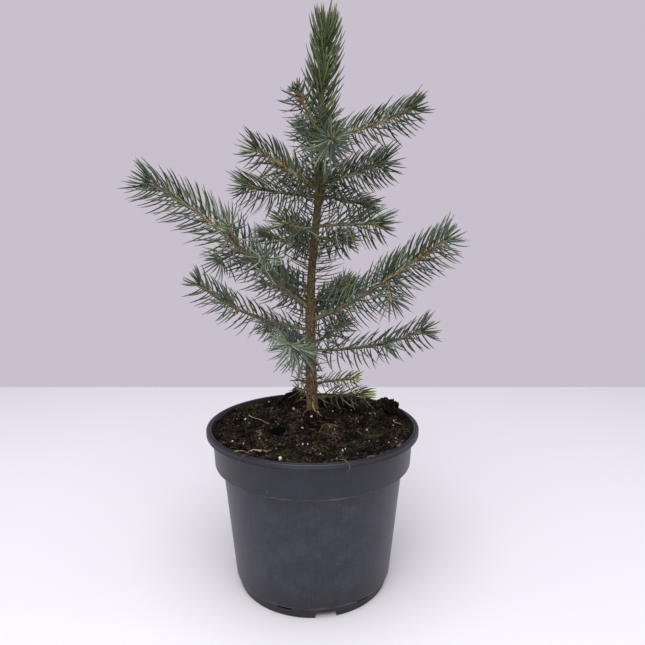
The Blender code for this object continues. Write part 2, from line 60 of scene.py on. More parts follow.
def placed(name, data):
    """A new object in the scene, from its mesh, lens or lamp."""
    thing = bpy.data.objects.new(name, data)
    bpy.context.scene.collection.objects.link(thing)
    return thing


lens = bpy.data.cameras.new("camera")
lens.sensor_width = SENSOR_WIDTH
lens.lens = SENSOR_WIDTH * FOCAL_PX / PICTURE_PX
lens.clip_start = 10 * MM
camera = placed("camera", lens)
camera.location = EYE
camera.rotation_euler = (math.pi / 2 - LOOKING_DOWN, 0.0, 0.0)
bpy.context.scene.camera = camera


# The nursery pot is one thin moulding of black plastic, round all the way: a rolled lip, a
# collar by which pots stack, a tapering wall, and a foot set in under it. Notches in the foot
# and slots above it drain the soil. It stands loose on the floor.
_, pot_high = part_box("nursery_pot")
RIM_RADIUS = pot_high.x
POT_HEIGHT = pot_high.z
LIP_HEIGHT = 5.2 * MM
RIM_INNER_RADIUS = RIM_RADIUS - 4.5 * MM
COLLAR_TOP_RADIUS = 89.6 * MM
COLLAR_FOOT_RADIUS = 88.1 * MM
COLLAR_FOOT_HEIGHT = 113.3 * MM
WALL_TOP_RADIUS = 81.1 * MM
WALL_FOOT_RADIUS = 71.3 * MM
WALL_FOOT_HEIGHT = 10.5 * MM
FOOT_RADIUS = 67.9 * MM
WALL = 1.6 * MM
FLOOR_TOP = 5.6 * MM
GROOVE_OUTER_RADIUS = 57 * MM
GROOVE_INNER_RADIUS = 43 * MM
GROOVE_DEPTH = 4 * MM
NOTCHES = 3
FIRST_NOTCH_HEADING = math.radians(-80)
NOTCH_WIDTH = 18 * MM
NOTCH_HEIGHT = 4.6 * MM
SLOTS = 6
FIRST_SLOT_HEADING = math.radians(-50)
SLOT_WIDTH = 13 * MM
SLOT_HEIGHT = 2.8 * MM
POT_STEPS = 180


class Signal:
    """A number or colour that varies over a surface; arithmetic on it adds Math nodes."""

    def __init__(self, finish, socket):
        self.finish = finish
        self.socket = socket

    def math(self, operation, first, second):
        return self.finish.node("ShaderNodeMath", {"operation": operation}, {0: first, 1: second})

    def __add__(self, other):
        return self.math("ADD", self, other)

    def __mul__(self, other):
        return self.math("MULTIPLY", self, other)

    def __sub__(self, other):
        return self.math("SUBTRACT", self, other)

    def __rsub__(self, other):
        return self.math("SUBTRACT", other, self)

    __radd__ = __add__
    __rmul__ = __mul__


class Finish:
    """A surface finish: a Principled shader, its constants, and the nodes that feed it."""

    def __init__(self, name, constants):
        self.material = bpy.data.materials.new(name)
        self.material.use_nodes = True
        self.tree = self.material.node_tree
        self.shader = self.tree.nodes["Principled BSDF"]
        for socket, value in constants.items():
            self.shader.inputs[socket].default_value = value

    def node(self, kind, settings, sockets, output=0):
        """A node of a kind: first its settings or a ramp's stops, then its sockets."""
        node = self.tree.nodes.new(kind)
        for setting, value in settings.items():
            if setting == "stops":
                while len(node.color_ramp.elements) < len(value):
                    node.color_ramp.elements.new(1.0)
                for stop, (position, colour) in zip(node.color_ramp.elements, value):
                    stop.position = position
                    stop.color = colour
            else:
                setattr(node, setting, value)
        for socket, value in sockets.items():
            if isinstance(value, Signal):
                self.tree.links.new(value.socket, node.inputs[socket])
            else:
                node.inputs[socket].default_value = value
        return Signal(self, node.outputs[output])

    def place(self):
        """Where a point of the piece lies, in metres."""
        return self.node("ShaderNodeTexCoord", {}, {}, "Object")

    def height(self):
        """How high a point of the piece lies, in metres."""
        return self.node("ShaderNodeSeparateXYZ", {}, {0: self.place()}, "Z")

    def away_from(self, spot):
        """How far a point of the piece lies from a spot, in metres."""
        return self.node("ShaderNodeVectorMath", {"operation": "DISTANCE"}, {0: self.place(), 1: spot}, 1)

    def away_in_height(self, height, level):
        """How far a point of the piece lies above or below a level, in metres."""
        return self.node("ShaderNodeMath", {"operation": "ABSOLUTE"}, {0: height - level})

    def cloud(self, size, detail=4.0, roughness=0.55):
        """A cloudy pattern from 0 to 1, whose lumps have a width, depth and height."""
        spread = self.node("ShaderNodeVectorMath", {"operation": "DIVIDE"}, {0: self.place(), 1: size})
        sockets = {"Vector": spread, "Scale": 1.0, "Detail": detail, "Roughness": roughness}
        return self.node("ShaderNodeTexNoise", {}, sockets)

    def rise(self, value, low, high):
        """0 where a value is below low, 1 where it is above high, and smooth between."""
        sockets = {"Value": value, "From Min": low, "From Max": high}
        return self.node("ShaderNodeMapRange", {"interpolation_type": "SMOOTHSTEP"}, sockets)

    def ramp(self, value, stops):
        """A colour for each value, through a row of stops."""
        return self.node("ShaderNodeValToRGB", {"stops": stops}, {0: value})

    def mix(self, share, first, second):
        """One colour giving way to another."""
        return self.node("ShaderNodeMix", {"data_type": "RGBA"}, {0: share, 6: first, 7: second}, 2)

    def coated(self, colour, *coats):
        """A colour under some coats of others, each laid on by its share."""
        for share, coat in coats:
            colour = self.mix(share, colour, coat)
        return colour

    def relief(self, height, depth):
        """The shading of a relief whose height runs from 0 to 1 over a depth."""
        return self.node("ShaderNodeBump", {}, {"Height": height, "Distance": depth})

    def feed(self, **signals):
        """Link signals to the shader, by the names of its sockets."""
        for name, signal in signals.items():
            self.tree.links.new(signal.socket, self.shader.inputs[name.replace("_", " ")])
        return self


def paint(red, green, blue):
    """A colour from its red, green and blue as a screen shows them, 0 to 255."""
    parts = [part / 255 for part in (red, green, blue)]
    return (*(((part + 0.055) / 1.055) ** 2.4 if part > 0.04 else part / 12.92 for part in parts), 1.0)


def cube(size):
    """The same size each way."""
    return (size, size, size)


def piece_of(mesh, slot, *finishes):
    """A piece of the plant from a mesh and its finishes; the slot argument is not used."""
    piece = placed(mesh.name, mesh)
    for finish in finishes:
        mesh.materials.append(finish.material)
    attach(piece, "root")
    return piece


def corner(across, height, radius, first, last, steps=5):
    """Points of a rounded corner in a half section, between two angles in degrees."""
    angles = [math.radians(first + (last - first) * step / steps) for step in range(steps + 1)]
    return [(across + radius * math.cos(angle), height + radius * math.sin(angle)) for angle in angles]


def turned(name, outline, steps):
    """A closed form turned about the Z axis from its half section."""
    mesh = bpy.data.meshes.new(name)
    points = [(across, 0.0, height) for across, height in outline]
    mesh.from_pydata(points, [(i, i + 1) for i in range(len(points) - 1)], [])
    form = placed(name, mesh)
    turn = form.modifiers.new("turn", "SCREW")
    turn.steps = steps
    turn.render_steps = steps
    turn.use_merge_vertices = True
    turn.merge_threshold = 0.01 * MM
    return form


def discard(form):
    """Take an object away, and its mesh with it."""
    mesh = form.data
    bpy.data.objects.remove(form, do_unlink=True)
    bpy.data.meshes.remove(mesh)


def settled(form):
    """The mesh of a form with its modifiers done; the form itself is taken away."""
    bpy.context.view_layer.update()
    graph = bpy.context.evaluated_depsgraph_get()
    mesh = bpy.data.meshes.new_from_object(form.evaluated_get(graph))
    name = form.name
    discard(form)
    mesh.name = name
    return mesh


def pot_outline():
    """Half section of the pot: floor, inner wall, beaded lip, collar, wall, foot and underside."""
    lip_foot = POT_HEIGHT - LIP_HEIGHT
    bead = 0.8 * MM
    roll = 1.2 * MM
    edge = 0.5 * MM
    ledge = 1.5 * MM
    return [
        (0.0, FLOOR_TOP),
        (FOOT_RADIUS - WALL - MM, FLOOR_TOP),
        (WALL_FOOT_RADIUS - WALL, WALL_FOOT_HEIGHT + MM),
        (WALL_TOP_RADIUS - WALL, COLLAR_FOOT_HEIGHT - MM),
        (COLLAR_FOOT_RADIUS - WALL, COLLAR_FOOT_HEIGHT + 3 * MM),
        (COLLAR_TOP_RADIUS - WALL, lip_foot + MM),
        *corner(RIM_INNER_RADIUS + bead, POT_HEIGHT - bead, bead, 180, 40),
        (RIM_INNER_RADIUS + 2 * bead, POT_HEIGHT - bead),
        *corner(RIM_RADIUS - roll, POT_HEIGHT - roll, roll, 130, 10),
        (RIM_RADIUS - 0.35 * MM, POT_HEIGHT - 2.3 * MM),
        (RIM_RADIUS - 0.05 * MM, POT_HEIGHT - 2.8 * MM),
        (RIM_RADIUS - 0.35 * MM, POT_HEIGHT - 3.3 * MM),
        *corner(RIM_RADIUS - edge - 0.1 * MM, lip_foot + edge, edge, 30, -90),
        (COLLAR_TOP_RADIUS + 2 * edge, lip_foot),
        *corner(COLLAR_TOP_RADIUS + edge, lip_foot - edge, edge, 90, 180),
        *corner(COLLAR_FOOT_RADIUS - ledge, COLLAR_FOOT_HEIGHT + ledge, ledge, 0, -90),
        (WALL_TOP_RADIUS + 0.8 * MM, COLLAR_FOOT_HEIGHT - 0.4 * MM),
        *corner(WALL_TOP_RADIUS + ledge, COLLAR_FOOT_HEIGHT - 1.2 * MM - ledge, ledge, 110, 180),
        *corner(WALL_FOOT_RADIUS - MM, WALL_FOOT_HEIGHT, MM, 0, -80),
        (FOOT_RADIUS + 0.4 * MM, WALL_FOOT_HEIGHT - 1.7 * MM),
        (FOOT_RADIUS, WALL_FOOT_HEIGHT - 2.6 * MM),
        *corner(FOOT_RADIUS - edge, edge, edge, 0, -90),
        (GROOVE_OUTER_RADIUS, 0.0),
        (GROOVE_OUTER_RADIUS - MM, GROOVE_DEPTH),
        (GROOVE_INNER_RADIUS + MM, GROOVE_DEPTH),
        (GROOVE_INNER_RADIUS, 0.0),
        (0.0, 0.0),
    ]


def drain_cutter(size, across, height, heading):
    """A block that cuts one drain, at a heading round the foot."""
    body = bmesh.new()
    bmesh.ops.create_cube(body, size=1.0)
    bmesh.ops.scale(body, vec=size, verts=body.verts)
    bmesh.ops.bevel(body, geom=body.edges, offset=0.8 * MM, segments=2, affect="EDGES", profile=0.5)
    bmesh.ops.translate(body, vec=(across, 0.0, height), verts=body.verts)
    bmesh.ops.rotate(body, matrix=Quaternion((0.0, 0.0, 1.0), heading).to_matrix(), verts=body.verts)
    mesh = bpy.data.meshes.new("drain")
    body.to_mesh(mesh)
    body.free()
    return placed("drain", mesh)


def pot_mesh():
    """The turned pot with its drains cut."""
    pot = turned("nursery_pot_shell", pot_outline(), POT_STEPS)
    notch_length = FOOT_RADIUS - GROOVE_OUTER_RADIUS + 6 * MM
    notch_middle = (FOOT_RADIUS + GROOVE_OUTER_RADIUS) / 2 + MM
    slot_middle = FLOOR_TOP + 0.4 * MM + SLOT_HEIGHT / 2
    notch_size = (notch_length, NOTCH_WIDTH, 2 * NOTCH_HEIGHT)
    slot_size = (8 * MM, SLOT_WIDTH, SLOT_HEIGHT)
    drains = ((NOTCHES, FIRST_NOTCH_HEADING, notch_size, notch_middle, 0.0),
              (SLOTS, FIRST_SLOT_HEADING, slot_size, FOOT_RADIUS, slot_middle))
    cutters = [drain_cutter(size, across, height, first + drain * math.tau / count)
               for count, first, size, across, height in drains for drain in range(count)]
    for cutter in cutters:
        cut = pot.modifiers.new("drain", "BOOLEAN")
        cut.operation = "DIFFERENCE"
        cut.object = cutter
    mesh = settled(pot)
    for cutter in cutters:
        discard(cutter)
    mesh.shade_smooth()
    mesh.set_sharp_from_angle(angle=math.radians(32))
    return mesh


def pot_plastic():
    """Satin black plastic: fine grain, scuffs, dusty ledges, a stained foot, specks of lime, and painted
    shade at the foot.
    """
    plastic = Finish("pot_plastic", {"Specular IOR Level": 0.42})
    height = plastic.height()
    patches = plastic.cloud(cube(18 * MM), 9.0, 0.68)
    streaks = plastic.cloud((1.5 * MM, 1.5 * MM, 60 * MM), 3.0)
    grain = plastic.cloud(cube(0.5 * MM), 2.0)
    specks = plastic.rise(plastic.cloud(cube(1.6 * MM), 1.0), 0.76, 0.80)
    worn = plastic.cloud((14 * MM, 14 * MM, 3 * MM), 4.0)
    on_ledge = (plastic.rise(height, COLLAR_FOOT_HEIGHT - 0.2 * MM, COLLAR_FOOT_HEIGHT + 0.3 * MM)
                * (1 - plastic.rise(height, COLLAR_FOOT_HEIGHT + 0.9 * MM, COLLAR_FOOT_HEIGHT + 2.2 * MM)))
    near_foot = 1 - plastic.rise(height, WALL_FOOT_HEIGHT, WALL_FOOT_HEIGHT + 22 * MM)
    film = patches * 0.75 + streaks * 0.25
    set_in = 1 - plastic.rise(height, WALL_FOOT_HEIGHT - 3 * MM, WALL_FOOT_HEIGHT - MM)
    on_collar = plastic.rise(height, COLLAR_FOOT_HEIGHT, COLLAR_FOOT_HEIGHT + MM)
    below_edge = plastic.away_in_height(height, WALL_FOOT_HEIGHT - 1.9 * MM)
    shade_under_edge = 1 - plastic.rise(below_edge, 0.2 * MM, 1.4 * MM)
    on_edge = 1 - plastic.rise(plastic.away_in_height(height, WALL_FOOT_HEIGHT), 0.3 * MM, 1.3 * MM)
    colour = plastic.coated(
        plastic.mix(plastic.rise(film, 0.38, 0.66), paint(28, 30, 42), paint(46, 48, 60)),
        (on_collar * 0.6, paint(18, 20, 30)),
        (on_ledge * plastic.rise(worn, 0.33, 0.6) * 0.6, paint(99, 94, 84)),
        # painted shade: the wall darkens towards the foot
        (near_foot * 0.75, paint(19, 20, 27)),
        (near_foot * plastic.rise(patches, 0.5, 0.7) * 0.25, paint(58, 51, 44)),
        # painted shade on the set-in foot band, mottled with darker and lighter patches
        (set_in * 0.85, plastic.mix(plastic.rise(worn, 0.4, 0.62), paint(18, 18, 23), paint(36, 33, 32))),
        # painted shade: a near-black line under the edge of the wall's foot
        (shade_under_edge * 0.8, paint(7, 6, 6)),
        (on_edge * plastic.rise(worn, 0.5, 0.6) * 0.5, paint(98, 80, 70)),
        (specks * 0.5, paint(120, 121, 124)),
    )
    rough = 0.31 + film * 0.18 + on_ledge * 0.2
    shading = plastic.relief(grain * 0.5 + streaks * 0.5, 0.05 * MM)
    return plastic.feed(Base_Color=colour, Roughness=rough, Normal=shading)


pot = piece_of(pot_mesh(), "pot_plastic", pot_plastic())
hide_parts("nursery_pot")


# The potting soil fills the pot nearly to its lip and rises in a mound at the trunk.
# It is dark peat, loose and crumbly, with moss starting on it here and there.
trunk_low, trunk_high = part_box("trunk")
SOIL_AT_TRUNK = trunk_low.z - 0.3 * MM
SOIL_AT_WALL = 143.4 * MM
SOIL_AT_FRONT = 144.2 * MM
SOIL_MOUND_WIDTH = 46 * MM
SOIL_PAD_RADIUS = 11 * MM
SOIL_LUMP_SIZE = 13 * MM
SOIL_LUMP_HEIGHT = 1.7 * MM
SOIL_RADIUS = COLLAR_TOP_RADIUS - 0.8 * MM
SOIL_RINGS = 110
SOIL_STEPS = 360
TRUNK_SETBACK = 19 * MM


def soil_height(x, y):
    """Height of the soil: a mound at the trunk that slopes to the wall, in broad lumps."""
    from_trunk = math.hypot(x, y - TRUNK_SETBACK)
    from_middle = math.hypot(x, y)
    front = max(0.0, -y / COLLAR_TOP_RADIUS) * min(1.0, from_middle / COLLAR_TOP_RADIUS)
    edge = SOIL_AT_WALL + (SOIL_AT_FRONT - SOIL_AT_WALL) * front
    mound = (SOIL_AT_TRUNK - edge) * math.exp(-(from_trunk / SOIL_MOUND_WIDTH) ** 2)
    lumps = SOIL_LUMP_HEIGHT * noise.noise(Vector((x, y, 0.0)) / SOIL_LUMP_SIZE)
    ease = min(1.0, max(0.0, (from_trunk - SOIL_PAD_RADIUS) / SOIL_PAD_RADIUS))
    return SOIL_AT_TRUNK + (edge + mound + lumps - SOIL_AT_TRUNK) * ease * ease * (3.0 - 2.0 * ease)


PITS = (Vector((-29.5, -13, 0)) * MM, Vector((-31, -24, 0)) * MM)
PIT_WIDTH = 7.8 * MM
PIT_DEPTH = 8 * MM
PIT_LEVEL = Vector((0, 0, 141)) * MM
CLOD_SIZE, CLOD_HEIGHT = 7 * MM, 2.2 * MM
CRUMB_SIZE, CRUMB_HEIGHT = 3 * MM, 4.2 * MM
GRIT_SIZE, GRIT_HEIGHT = 1.3 * MM, 1 * MM
SETTLED_BY = 1.4 * MM


def crumbly(x, y):
    """How far the surface stands off the broad lumps, with its clods, crumbs and one pit."""
    spot = Vector((x, y, 0.0))
    clods = noise.noise(spot / CLOD_SIZE) * CLOD_HEIGHT
    crumbs = abs(noise.noise(spot / CRUMB_SIZE)) * CRUMB_HEIGHT
    grit = noise.noise(spot / GRIT_SIZE) * GRIT_HEIGHT
    pit = PIT_DEPTH * max(math.exp(-((spot - pit).length / PIT_WIDTH) ** 4) for pit in PITS)
    return clods + crumbs + grit - pit - SETTLED_BY


def surface(x, y):
    """Height of the finished surface, crumbs and all."""
    return soil_height(x, y) + crumbly(x, y)


def soil_mesh():
    """The soil body, its fine top turned in rings and then pushed into crumbs."""
    outline = [(SOIL_RADIUS * ring / SOIL_RINGS, SOIL_AT_WALL) for ring in range(SOIL_RINGS + 1)]
    off = WALL + 0.6 * MM
    outline += [
        (COLLAR_FOOT_RADIUS - off, COLLAR_FOOT_HEIGHT + 4.2 * MM),
        (WALL_TOP_RADIUS - off, COLLAR_FOOT_HEIGHT - MM),
        (WALL_FOOT_RADIUS - off, WALL_FOOT_HEIGHT + 2 * MM),
        (FOOT_RADIUS - off - 2 * MM, FLOOR_TOP + 0.3 * MM),
        (0.0, FLOOR_TOP + 0.3 * MM),
    ]
    mesh = settled(turned("soil_body", outline, SOIL_STEPS))
    for vertex in mesh.vertices:
        if vertex.co.z > SOIL_AT_WALL - 0.01 * MM:
            vertex.co.z = surface(*vertex.co.xy)
    mesh.shade_smooth()
    return mesh


MOSS_SPOTS = (
    (Vector((50, -25, 147)) * MM, 15 * MM),
    (Vector((52, 29, 147)) * MM, 10 * MM),
    (Vector((-65, 54, 145)) * MM, 12 * MM),
    (Vector((-20, -66, 147)) * MM, 9 * MM),
)


def peat():
    """Dark, damp peat with brown fibre in it, a little moss, and painted shade in its pits."""
    soil = Finish("peat", {"Roughness": 0.95, "Specular IOR Level": 0.12})
    clods = soil.cloud(cube(13 * MM), 4.0, 0.6)
    crumbs = soil.cloud(cube(2.4 * MM), 3.0, 0.6)
    fibre = soil.cloud(cube(0.8 * MM), 5.0, 0.75)
    moss = soil.rise(soil.cloud(cube(15 * MM), 3.0), 0.6, 0.68)
    for spot, reach in MOSS_SPOTS:
        moss = moss + (1 - soil.rise(soil.away_from(spot), 0.4 * reach, reach))
    wet, damp = (0.42, paint(3, 3, 2)), (0.5, paint(21, 17, 14))
    dry_soil, straw = (0.56, paint(60, 50, 39)), (0.63, paint(152, 132, 108))
    brown = soil.ramp(clods * 0.34 + crumbs * 0.32 + fibre * 0.34, (wet, damp, dry_soil, straw))
    mossy = soil.mix(moss * soil.rise(fibre, 0.44, 0.62) * 0.8, brown, paint(74, 74, 36))
    # Painted shade: the peat turns near black in the two pits.
    beside, beside_too = (soil.rise(soil.away_from(pit + PIT_LEVEL), 0.9 * PIT_WIDTH, 1.3 * PIT_WIDTH)
                          for pit in PITS)
    shaded = soil.mix(beside * beside_too, paint(2, 2, 2), mossy)
    return soil.feed(Base_Color=shaded, Normal=soil.relief(fibre, 1.4 * MM))


soil_finish = peat()
soil = piece_of(soil_mesh(), "potting_soil", soil_finish)
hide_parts("potting_soil")


# Crumbs of peat lie loose over the whole surface, from grit to clods as wide as a pea. Larger
# clods lean on the rim in two heaps, at the back and at the right. All are the soil's own stuff.
SEED = 11
GRIT = 3000
CRUMBS = 1000
CLODS = 34
LUMP_KNOBS, FINER_KNOBS = 3.1, 2.7
INNERMOST = 0.004
RIM_CLODS = (
    (75, 37, 148.5, 16), (69, 45, 148, 14), (78, 42, 149, 9), (81.5, 29, 145.5, 9),
    (84, 20, 145, 6), (-19, 72, 148, 16), (-27, 70, 146, 11), (-9, 76, 146, 12),
)
chance = np.random.default_rng(SEED)


def lumps(count, detail, depth, flat, apart):
    """Points and faces of some irregular lumps, a unit wide, no two alike."""
    forms = []
    for number in range(count):
        body = bmesh.new()
        bmesh.ops.create_icosphere(body, subdivisions=detail, radius=0.5)
        for vertex in body.verts:
            where = vertex.co * LUMP_KNOBS + Vector(cube(apart * number))
            vertex.co *= 1.0 + depth * (noise.noise(where) + 0.5 * noise.noise(where * FINER_KNOBS))
            vertex.co.z *= flat
        points = np.array([tuple(vertex.co) for vertex in body.verts])
        faces = np.array([[vertex.index for vertex in face.verts] for face in body.faces])
        body.free()
        forms.append((points, faces))
    return forms


def on_disc(count, radius):
    """Places spread evenly over the soil's disc but for its pit, each at the soil's height."""
    across = radius * np.sqrt(chance.uniform(INNERMOST, 1.0, count))
    turn = chance.uniform(0.0, math.tau, count)
    spots = np.stack([across * np.cos(turn), across * np.sin(turn)], axis=1)
    for pit in PITS:
        apart = spots - np.array(pit)[:2]
        far = np.linalg.norm(apart, axis=1, keepdims=True)
        spots = np.where(far < PIT_WIDTH, spots + apart / far * PIT_WIDTH, spots)
    return np.array([(x, y, surface(x, y)) for x, y in spots])


class Skin:
    """Points and faces of many like parts, gathered for one mesh."""

    def __init__(self):
        self.points = []
        self.faces = []
        self.slots = []
        self.count = 0

    def add(self, points, faces, slots=0):
        """Take in a part: its points, its faces, and which finish each face has."""
        self.points.append(points)
        self.faces += (faces + self.count).tolist()
        self.slots += np.broadcast_to(slots, len(faces)).tolist()
        self.count += len(points)

    def close(self, ring):
        """Close an end with one face over a ring of points."""
        self.faces.append(ring)
        self.slots.append(self.slots[-1])

    def mesh(self, name, smooth=True):
        """The gathered parts as one mesh."""
        mesh = bpy.data.meshes.new(name)
        mesh.from_pydata(np.concatenate(self.points).tolist(), [], self.faces)
        mesh.polygons.foreach_set("material_index", self.slots)
        if smooth:
            mesh.shade_smooth()
        return mesh


def strew(skin, forms, places, sizes):
    """Lay copies of a few lumps at places, each turned its own way."""
    for place, size in zip(places, sizes):
        points, faces = forms[chance.integers(len(forms))]
        turn = np.array(Quaternion(chance.normal(size=4)).normalized().to_matrix())
        skin.add(points @ turn * size + place, faces)


def strew_all_over(skin, forms, count, off_wall, smallest, largest):
    """Strew lumps over the soil; their sizes and how far they keep off the wall in millimetres."""
    places = on_disc(count, SOIL_RADIUS - off_wall * MM)
    strew(skin, forms, places, chance.uniform(smallest, largest, count) * MM)


peat_crumbs = Skin()
strew_all_over(peat_crumbs, lumps(6, 1, 0.55, 0.8, 3.7), GRIT, 0, 0.9, 2.2)
strew_all_over(peat_crumbs, lumps(8, 2, 0.75, 0.75, 5.3), CRUMBS, 2, 2.0, 4.6)
strew_all_over(peat_crumbs, lumps(5, 3, 0.85, 0.7, 7.9), CLODS, 6, 5.0, 9.0)
rim_lumps = lumps(3, 4, 0.8, 0.8, 2.3)
for *middle, size in np.array(RIM_CLODS) * MM:
    strew(peat_crumbs, rim_lumps, [np.array(middle)], [size])
piece_of(peat_crumbs.mesh("peat_crumbs"), "potting_soil", soil_finish)


# Perlite is mixed through the peat: white beads of puffed stone, of which some lie on top.
PERLITE = 60
LARGE_BEADS = (
    (-71.3, 11.4, 3.2), (-63.0, 10.0, 3.0), (-7.6, -51.7, 3.4), (-3.4, -50.6, 2.6), (-23.8, -80.5, 3.6),
    (24.3, -65.3, 3.0), (-8.7, -19.6, 2.8), (-19.9, 50.4, 2.8), (75.1, 8.0, 2.6), (-13.5, 67.9, 3.0),
    (47.8, -18.6, 2.2), (-46.1, 69.2, 2.6), (-66.5, -41.1, 2.0), (86.0, -24.6, 2.2), (17.4, 44.5, 2.4),
    (-1.2, 1.8, 2.2), (-18.3, 23.4, 2.8), (-14.2, 62.0, 2.8),
)
BEAD_LIFT = 0.3
beads = Skin()
bead_forms = lumps(5, 2, 0.7, 0.62, 9.1)
strew_all_over(beads, bead_forms, PERLITE, 2, 0.8, 2.0)
for x, y, size in np.array(LARGE_BEADS) * MM:
    place = np.array([x, y, surface(x, y) + BEAD_LIFT * size])
    strew(beads, bead_forms, [place], [size])


def perlite_stone():
    """Chalk-white puffed stone, pitted and a little stained by the peat."""
    stone = Finish("perlite_stone", {"Roughness": 0.85})
    stain = stone.rise(stone.cloud(cube(1.2 * MM), 3.0), 0.4, 0.72)
    pits = stone.cloud(cube(0.3 * MM), 2.0)
    colour = stone.mix(stain, paint(222, 218, 196), paint(158, 146, 116))
    return stone.feed(Base_Color=colour, Normal=stone.relief(pits, 0.15 * MM))


piece_of(beads.mesh("perlite"), "potting_soil", perlite_stone())


# Among the crumbs lie fibres and rootlets, chips of composted bark, and needles that have
# dropped from the tree and dried to straw. All are slender and taper to their ends.
FIBRE_FORM = ((0.0, 0.5), (0.2, 1.0), (0.5, 0.9), (0.8, 0.8), (1.0, 0.3))
CHIP_FORM = ((0.0, 0.5), (0.12, 0.95), (0.7, 1.0), (1.0, 0.55))
FALLEN_FORM = ((0.0, 0.5), (0.15, 1.0), (0.75, 0.9), (1.0, 0.15))
Litter = namedtuple("Litter", "name count length width form curl thin pale dark")
LITTER = (
    Litter("peat_fibres", 700, (4, 13), (0.25, 0.6), FIBRE_FORM, 0.35, 1.0, (84, 64, 45), (30, 24, 18)),
    Litter("straw_fibres", 130, (2.5, 7), (0.22, 0.42), FIBRE_FORM, 0.5, 1.0, (164, 140, 104), (104, 84, 60)),
    Litter("bark_chips", 110, (3, 9), (1.2, 3.6), CHIP_FORM, 0.05, 0.3, (74, 56, 41), (28, 22, 18)),
    Litter("wood_splinters", 14, (2.5, 5), (0.8, 1.4), CHIP_FORM, 0.05, 0.4, (156, 130, 96), (96, 76, 56)),
    Litter("fallen_needles", 4, (14, 22), (0.8, 1.1), FALLEN_FORM, 0.12, 1.0, (150, 128, 90), (98, 76, 50)),
)
LITTER_TILT = 0.16
LITTER_ROLL = 0.15
LITTER_LIFT = 0.3 * MM
UP = np.array([0.0, 0.0, 1.0])


def spindles(roots, ahead, side, lengths, widths, bends, form, thin=1.0):
    """Points, faces and each face's span and side, of many slender four-sided parts.

    The form lists shares of the length with the share of the width there. Each part runs
    ahead from its root, its broad way lies to its side, and its bend carries its tip aside.
    """
    shares = np.array([row[0] for row in form])
    swell = np.array([row[1] for row in form])
    over = np.cross(ahead, side)
    middle = (roots[:, None] + ahead[:, None] * (shares * lengths[:, None])[..., None]
              + bends[:, None] * (shares ** 2)[None, :, None])
    half = 0.5 * widths[:, None] * swell
    across = side[:, None] * half[..., None]
    above = over[:, None] * (half * thin)[..., None]
    rings = np.stack([middle + across, middle + above, middle - across, middle - above], axis=2)
    index = np.arange(len(roots) * len(form) * 4).reshape(len(roots), len(form), 4)
    beside = np.roll(index, -1, axis=2)
    walls = np.stack([index[:, :-1], beside[:, :-1], beside[:, 1:], index[:, 1:]], axis=-1)
    ends = np.stack([index[:, 0, ::-1], index[:, -1]], axis=1)
    spans = np.broadcast_to(np.arange(len(form) - 1)[None, :, None], walls.shape[:3])
    last_spans = np.broadcast_to(np.array([0, len(form) - 2]), ends.shape[:2])
    sides = np.broadcast_to(np.arange(4)[None, None, :], walls.shape[:3])
    faces = np.concatenate([walls.reshape(-1, 4), ends.reshape(-1, 4)])
    spans = np.concatenate([spans.reshape(-1), last_spans.reshape(-1)])
    sides = np.concatenate([sides.reshape(-1), np.zeros(last_spans.size, int)])
    return rings.reshape(-1, 3), faces, spans, sides


def unit(vectors):
    """Vectors of length one."""
    return vectors / np.linalg.norm(vectors, axis=-1, keepdims=True)


def swung(first, second, angles):
    """Directions turned by angles from a first way towards a second one."""
    return first * np.cos(angles)[:, None] + second * np.sin(angles)[:, None]


def reach_across(places):
    """How far places lie from the upright axis, seen from above."""
    return np.hypot(*places[:, :2].T)


def lie_on_soil(kind):
    """One mesh of slender parts of a kind that lie on the soil, flat but for a little tilt."""
    places = on_disc(kind.count, SOIL_RADIUS - 3 * MM)
    turn = chance.uniform(0.0, math.tau, kind.count)
    tilt = chance.normal(0.0, LITTER_TILT, kind.count)
    ahead = unit(np.stack([np.cos(turn), np.sin(turn), tilt], axis=1))
    side = unit(np.cross(ahead, UP + chance.normal(0.0, LITTER_ROLL, (kind.count, 3))))
    lengths = chance.uniform(*kind.length, kind.count) * MM
    bends = side * (chance.normal(0.0, kind.curl, kind.count) * lengths)[:, None]
    widths = chance.uniform(*kind.width, kind.count) * MM
    starts = places - ahead * lengths[:, None] / 2 + UP * LITTER_LIFT
    inside = reach_across(starts + ahead * lengths[:, None]) < SOIL_RADIUS - MM
    inside &= reach_across(starts) < SOIL_RADIUS - MM
    parts = (starts, ahead, side, lengths, widths, bends)
    points, faces, _, _ = spindles(*(values[inside] for values in parts), kind.form, kind.thin)
    skin = Skin()
    skin.add(points, faces)
    return skin.mesh(kind.name)


def dry(name, pale, dark, roughness=0.8):
    """A dry plant stuff whose colour wanders between two shades."""
    stuff = Finish(name, {"Roughness": roughness, "Specular IOR Level": 0.3})
    drift = stuff.rise(stuff.cloud(cube(4 * MM), 3.0), 0.35, 0.65)
    grain = stuff.cloud(cube(0.5 * MM), 2.0)
    return stuff.feed(Base_Color=stuff.mix(drift, pale, dark), Normal=stuff.relief(grain, 0.1 * MM))


for kind in LITTER:
    piece_of(lie_on_soil(kind), "potting_soil", dry(kind.name, paint(*kind.pale), paint(*kind.dark)))


